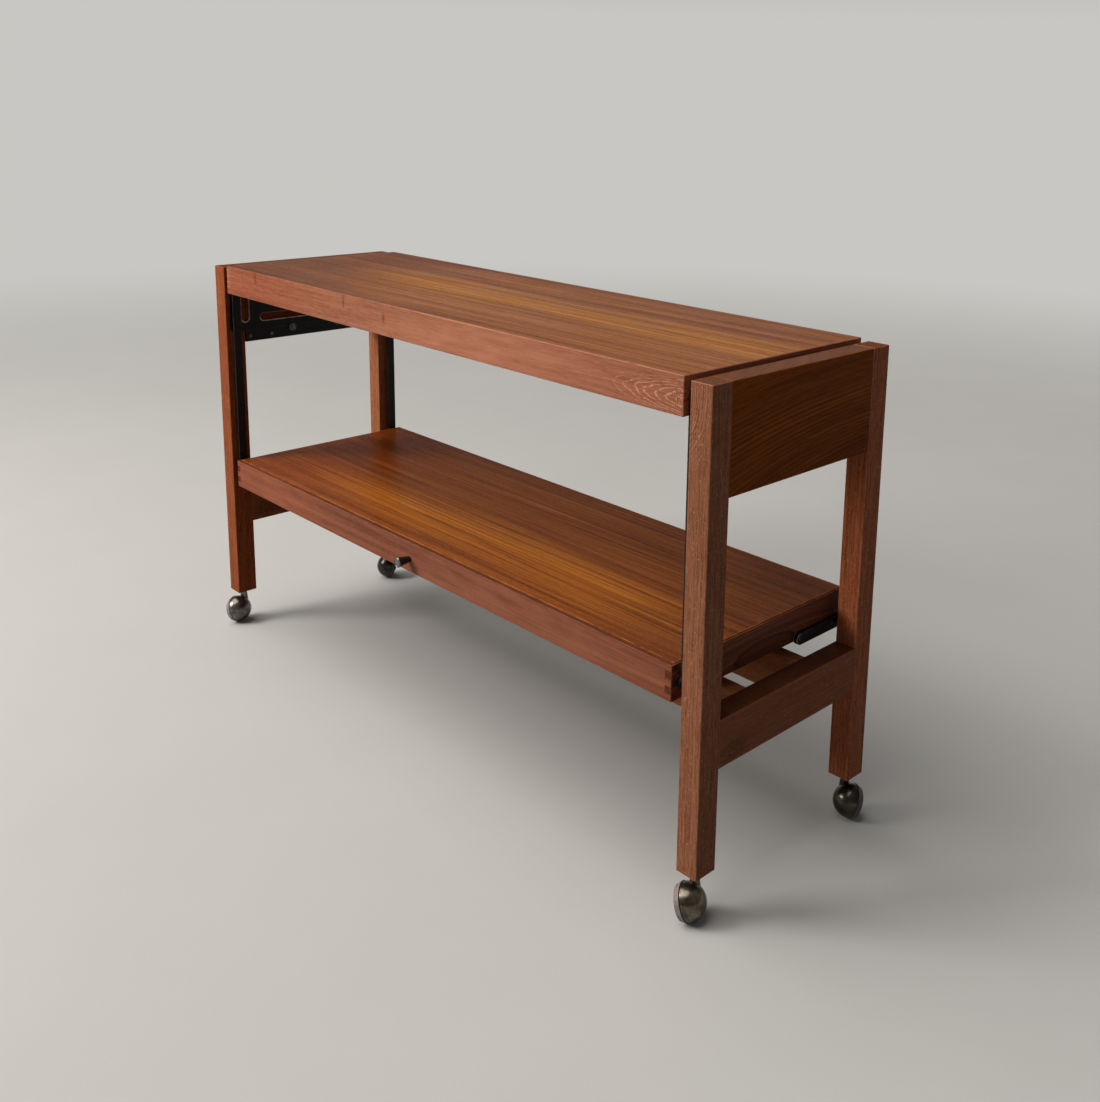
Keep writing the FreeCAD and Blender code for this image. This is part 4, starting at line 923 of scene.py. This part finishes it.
class TROLLEY_OT_frame_wood(bpy.types.Operator):
    """Finish the legs, aprons, stretchers and their dowels"""
    bl_idname = "trolley.frame_wood"
    bl_label = "Frame"

    def execute(self, context):
        wood = context.scene.trolley_wood
        for seed, corner in enumerate(CORNERS, start=40):
            self.leg(wood, corner, seed)
        for seed, side in enumerate(SIDES, start=50):
            self.apron(wood, f"apron_{side}", seed)
            self.end_stretcher(wood, f"stretcher_{side}", seed + 5.0)
        for seed, side in enumerate(LONG_SIDES, start=60):
            self.long_stretcher(wood, f"long_stretcher_{side}", seed)
        self.dowels(wood, "frame_dowels", Y, (Z, X), 70)
        self.dowels(wood, "long_dowels", X, (Z, Y), 71)
        return {"FINISHED"}

    def leg(self, wood, corner, seed):
        name = f"leg_{corner}"
        low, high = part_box(name)
        # The rear-left leg's tone holds painted light.
        tone = LEG_TONES_AND_PAINTED_LIGHT[corner]
        board = Teak(name, Z, (X, Y), palette(wood, "leg", tone), seed, LEG_GRAIN,
                     roughness=wood.polish + 0.03, sheen=0.045)
        board.draw_lines()
        board.draw_rings(pitch=0.0065, share=0.55 if corner == "rear_right" else 0.22)
        board.prick_pores()
        if corner.startswith("front"):
            board.curl(along=high.z - 0.016, wide=low.x - 0.016,
                       stretch=1.9, pitch=0.0036, reach=0.060, share=0.50)
        if corner == "front_left":
            board.curl(along=0.452, wide=low.x + 0.024,
                       stretch=1.6, pitch=0.0040, reach=0.014, share=0.90)
        board.close_ends(darkness=0.62 / tone[0])
        board.wear_and_highlight_edges(reach=0.0014, share=0.55)
        board.spatter(wood.specks, share=0.62, scale=400.0, least=0.715)
        board.finish()

    def apron(self, wood, name, seed):
        low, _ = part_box(name)
        log = Log(heart=low.z - 0.085, lean=0.312, peak=0.254, arches=0.68, arch_pitch=0.0058,
                  arch_floor=low.z + 0.085, arch_ceiling=low.z + 0.125)
        board = Teak(name, Y, (Z, X), palette(wood, "apron"), seed, APRON_GRAIN, log,
                     roughness=wood.polish, sheen=0.025)
        board.draw_lines()
        board.prick_pores()
        # The greyish tint on the upward faces is painted sheen.
        board.darken_tops(share=0.60, colour=wood.painted_top_sheen)
        board.close_ends(darkness=0.75)
        board.wear_and_highlight_edges(reach=0.0012, share=0.45)
        board.finish()

    def end_stretcher(self, wood, name, seed):
        low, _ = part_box(name)
        board = self.stretcher(wood, name, Y, (Z, X), palette(wood, "leg"), seed)
        # The stretcher's top is darkened almost fully: painted shade under the leaf.
        board.darken_tops(share=0.94)
        board.mark(STRETCHER_DARK_PATCH.placed(low.z), scaled(wood.leg_deep, 0.45))
        self.close_stretcher(wood, board)

    def long_stretcher(self, wood, name, seed):
        # The lighter tone is painted light under the leaf.
        tones = palette(wood, "leg", LONG_STRETCHER_PAINTED_LIGHT)
        board = self.stretcher(wood, name, X, (Z, Y), tones, seed)
        board.darken_tops(share=0.10)
        self.close_stretcher(wood, board)

    def stretcher(self, wood, name, grain, across, tones, seed):
        board = Teak(name, grain, across, tones, seed, PLAIN_GRAIN, roughness=wood.polish + 0.05)
        board.draw_lines()
        board.draw_rings(pitch=0.0080, share=0.25)
        board.prick_pores()
        return board

    def close_stretcher(self, wood, board):
        board.close_ends(darkness=0.75)
        board.wear_and_highlight_edges(reach=0.0012, share=0.45)
        board.spatter(wood.specks, share=0.6, scale=230.0, least=0.745)
        board.finish()

    def dowels(self, wood, name, grain, across, seed):
        tones = [scaled(wood.beech, factor) for factor in (0.7, 1.0, 1.2)]
        board = Teak(name, grain, across, tones, seed, LEG_GRAIN, roughness=0.6)
        board.prick_pores()
        board.close_ends(darkness=0.9)
        board.finish()


class TROLLEY_OT_steelwork(bpy.types.Operator):
    """Finish the arms, plates, brackets, guides and fasteners"""
    bl_idname = "trolley.steelwork"
    bl_label = "Steelwork"

    def execute(self, context):
        metal = context.scene.trolley_metal
        for corner in CORNERS:
            enamel(f"arm_{corner}", metal)
            low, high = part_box(f"leaf_bracket_{corner}")
            nose = high.y if corner.startswith("front") else low.y
            enamel(f"leaf_bracket_{corner}", metal, nose)
        for side in SIDES:
            enamel(f"carriage_plate_{side}", metal, slots=PLATE_SLOTS)
            enamel(f"guide_bar_{side}", metal)
        steel = blackened_steel(metal)
        for name in FASTENERS:
            dress(name, steel)
        return {"FINISHED"}


class TROLLEY_OT_casters(bpy.types.Operator):
    """Finish the casters"""
    bl_idname = "trolley.casters"
    bl_label = "Casters"

    def execute(self, context):
        metal = context.scene.trolley_metal
        for corner in CORNERS:
            lacquer = bronze(metal, corner)
            dress(f"caster_hood_{corner}", lacquer)
            dress(f"caster_wheel_{corner}", lacquer)
            dress(f"caster_tread_{corner}", worn_tread(metal, corner))
        return {"FINISHED"}


class TROLLEY_OT_knob(bpy.types.Operator):
    """Finish the pull knob"""
    bl_idname = "trolley.knob"
    bl_label = "Pull Knob"

    def execute(self, context):
        dress("pull_knob", knob_finish(context.scene.trolley_metal))
        return {"FINISHED"}


class TROLLEY_OT_stage(bpy.types.Operator):
    """Set up the pale floor, the soft lights and the camera"""
    bl_idname = "trolley.stage"
    bl_label = "Studio"

    def execute(self, context):
        scene = context.scene
        studio = scene.trolley_studio
        self.lay_floor(scene, studio)
        self.hang_backdrop(scene, studio)
        self.hang_lights(scene)
        self.place_camera(scene, studio)
        scene.view_settings.view_transform = "Standard"
        return {"FINISHED"}

    def lay_floor(self, scene, studio):
        mesh = bpy.data.meshes.new("floor")
        shape = bmesh.new()
        bmesh.ops.create_grid(shape, x_segments=8, y_segments=8, size=FLOOR_HALF_SIDE)
        shape.to_mesh(mesh)
        shape.free()
        floor = bpy.data.objects.new("floor", mesh)
        scene.collection.objects.link(floor)
        g = Coat("pale_floor")
        x, y, _ = g.split(g.place)
        cloud = g.noise(g.place, 2.2, 4.0, 0.6)
        grit = g.noise(g.place, 260.0, 2.0, 0.6)
        tone = g.add(g.times(cloud, 0.7), g.times(grit, 0.3))
        pale = g.ramp(tone, (0.35, scaled(studio.floor, 0.98)), (0.65, scaled(studio.floor, 1.02)))
        seen = g.seen()
        g.set("Base Color", g.mix(seen, scaled(studio.floor, FLOOR_BOUNCE), pale))
        g.set("Roughness", 0.62)
        g.set("Specular IOR Level", 0.15)
        glow = g.tree.nodes.new("ShaderNodeEmission")
        glow.inputs["Color"].default_value = (*studio.backdrop, 1.0)
        far = g.times(g.step(g.size(x, y), *FLOOR_FADE), seen)
        g.blend(far, g.shader, glow, "Material Output")
        mesh.materials.append(g.material)

    def hang_backdrop(self, scene, studio):
        world = bpy.data.worlds.new("studio")
        world.use_nodes = True
        scene.world = world
        g = Graph(world.node_tree)
        fill = g.tree.nodes["Background"]
        fill.inputs["Color"].default_value = (*FILL_COLOUR, 1.0)
        fill.inputs["Strength"].default_value = FILL_STRENGTH
        heading = g.tree.nodes.new("ShaderNodeTexCoord").outputs["Generated"]
        rise = g.step(g.split(heading)[Z], *BACKDROP_RISE)
        shade = g.mix(rise, studio.backdrop, scaled(studio.backdrop, BACKDROP_DIM))
        sweep = g.tree.nodes.new("ShaderNodeBackground")
        g.put(shade, sweep.inputs["Color"])
        g.blend(g.seen(), fill, sweep, "World Output")

    def hang_lights(self, scene):
        for name, lamp in LAMPS.items():
            light = bpy.data.lights.new(name, lamp.kind)
            light.energy = lamp.energy
            light.color = lamp.colour
            if lamp.kind == "AREA":
                light.shape = "SQUARE"
                light.size = lamp.softness
            else:
                light.angle = lamp.softness
            piece = bpy.data.objects.new(name, light)
            piece.location = lamp.place
            aim = LIGHT_AIM - Vector(lamp.place)
            piece.rotation_euler = aim.to_track_quat("-Z", "Y").to_euler()
            scene.collection.objects.link(piece)

    def place_camera(self, scene, studio):
        lens = bpy.data.cameras.new("camera")
        lens.sensor_width = SENSOR_SIDE
        lens.lens = studio.lens
        lens.shift_x = studio.shift_across
        lens.shift_y = studio.shift_up
        lens.clip_end = FARTHEST_VIEW
        az, pitch, roll = studio.azimuth, studio.pitch, studio.roll
        level = math.cos(pitch)
        ahead = Vector((-math.sin(az) * level, math.cos(az) * level, -math.sin(pitch)))
        right = Vector((math.cos(az), math.sin(az), 0.0))
        up = right.cross(ahead)
        side = math.cos(roll) * right + math.sin(roll) * up
        rise = -math.sin(roll) * right + math.cos(roll) * up
        turn = Matrix((side, rise, -ahead)).transposed().to_4x4()
        piece = bpy.data.objects.new("camera", lens)
        piece.matrix_world = Matrix.Translation(Vector(studio.eye)) @ turn
        scene.collection.objects.link(piece)
        scene.camera = piece


class TROLLEY_PT_sidebar(bpy.types.Panel):
    """List the steps of the trolley's finish"""
    bl_idname = "TROLLEY_PT_sidebar"
    bl_label = "Tea Trolley"
    bl_space_type = "VIEW_3D"
    bl_region_type = "UI"
    bl_category = "Trolley"

    def draw(self, context):
        for operator in OPERATORS:
            self.layout.operator(operator.bl_idname)
        for group in SETTINGS:
            settings = getattr(context.scene, group)
            for name in settings.__annotations__:
                self.layout.prop(settings, name)


OPERATORS = (
    TROLLEY_OT_frame_wood,
    TROLLEY_OT_tiers,
    TROLLEY_OT_steelwork,
    TROLLEY_OT_knob,
    TROLLEY_OT_casters,
    TROLLEY_OT_stage,
)
CLASSES = (WoodFinish, MetalFinish, StudioSetup, *OPERATORS, TROLLEY_PT_sidebar)


def register():
    for item in CLASSES:
        bpy.utils.register_class(item)
    for name, group in zip(SETTINGS, (WoodFinish, MetalFinish, StudioSetup)):
        setattr(bpy.types.Scene, name, PointerProperty(type=group))


def unregister():
    for name in SETTINGS:
        delattr(bpy.types.Scene, name)
    for item in reversed(CLASSES):
        bpy.utils.unregister_class(item)


def main():
    register()
    bpy.ops.trolley.frame_wood()
    bpy.ops.trolley.tiers()
    bpy.ops.trolley.steelwork()
    bpy.ops.trolley.knob()
    bpy.ops.trolley.casters()
    bpy.ops.trolley.stage()
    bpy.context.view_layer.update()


if __name__ == "__main__":
    main()
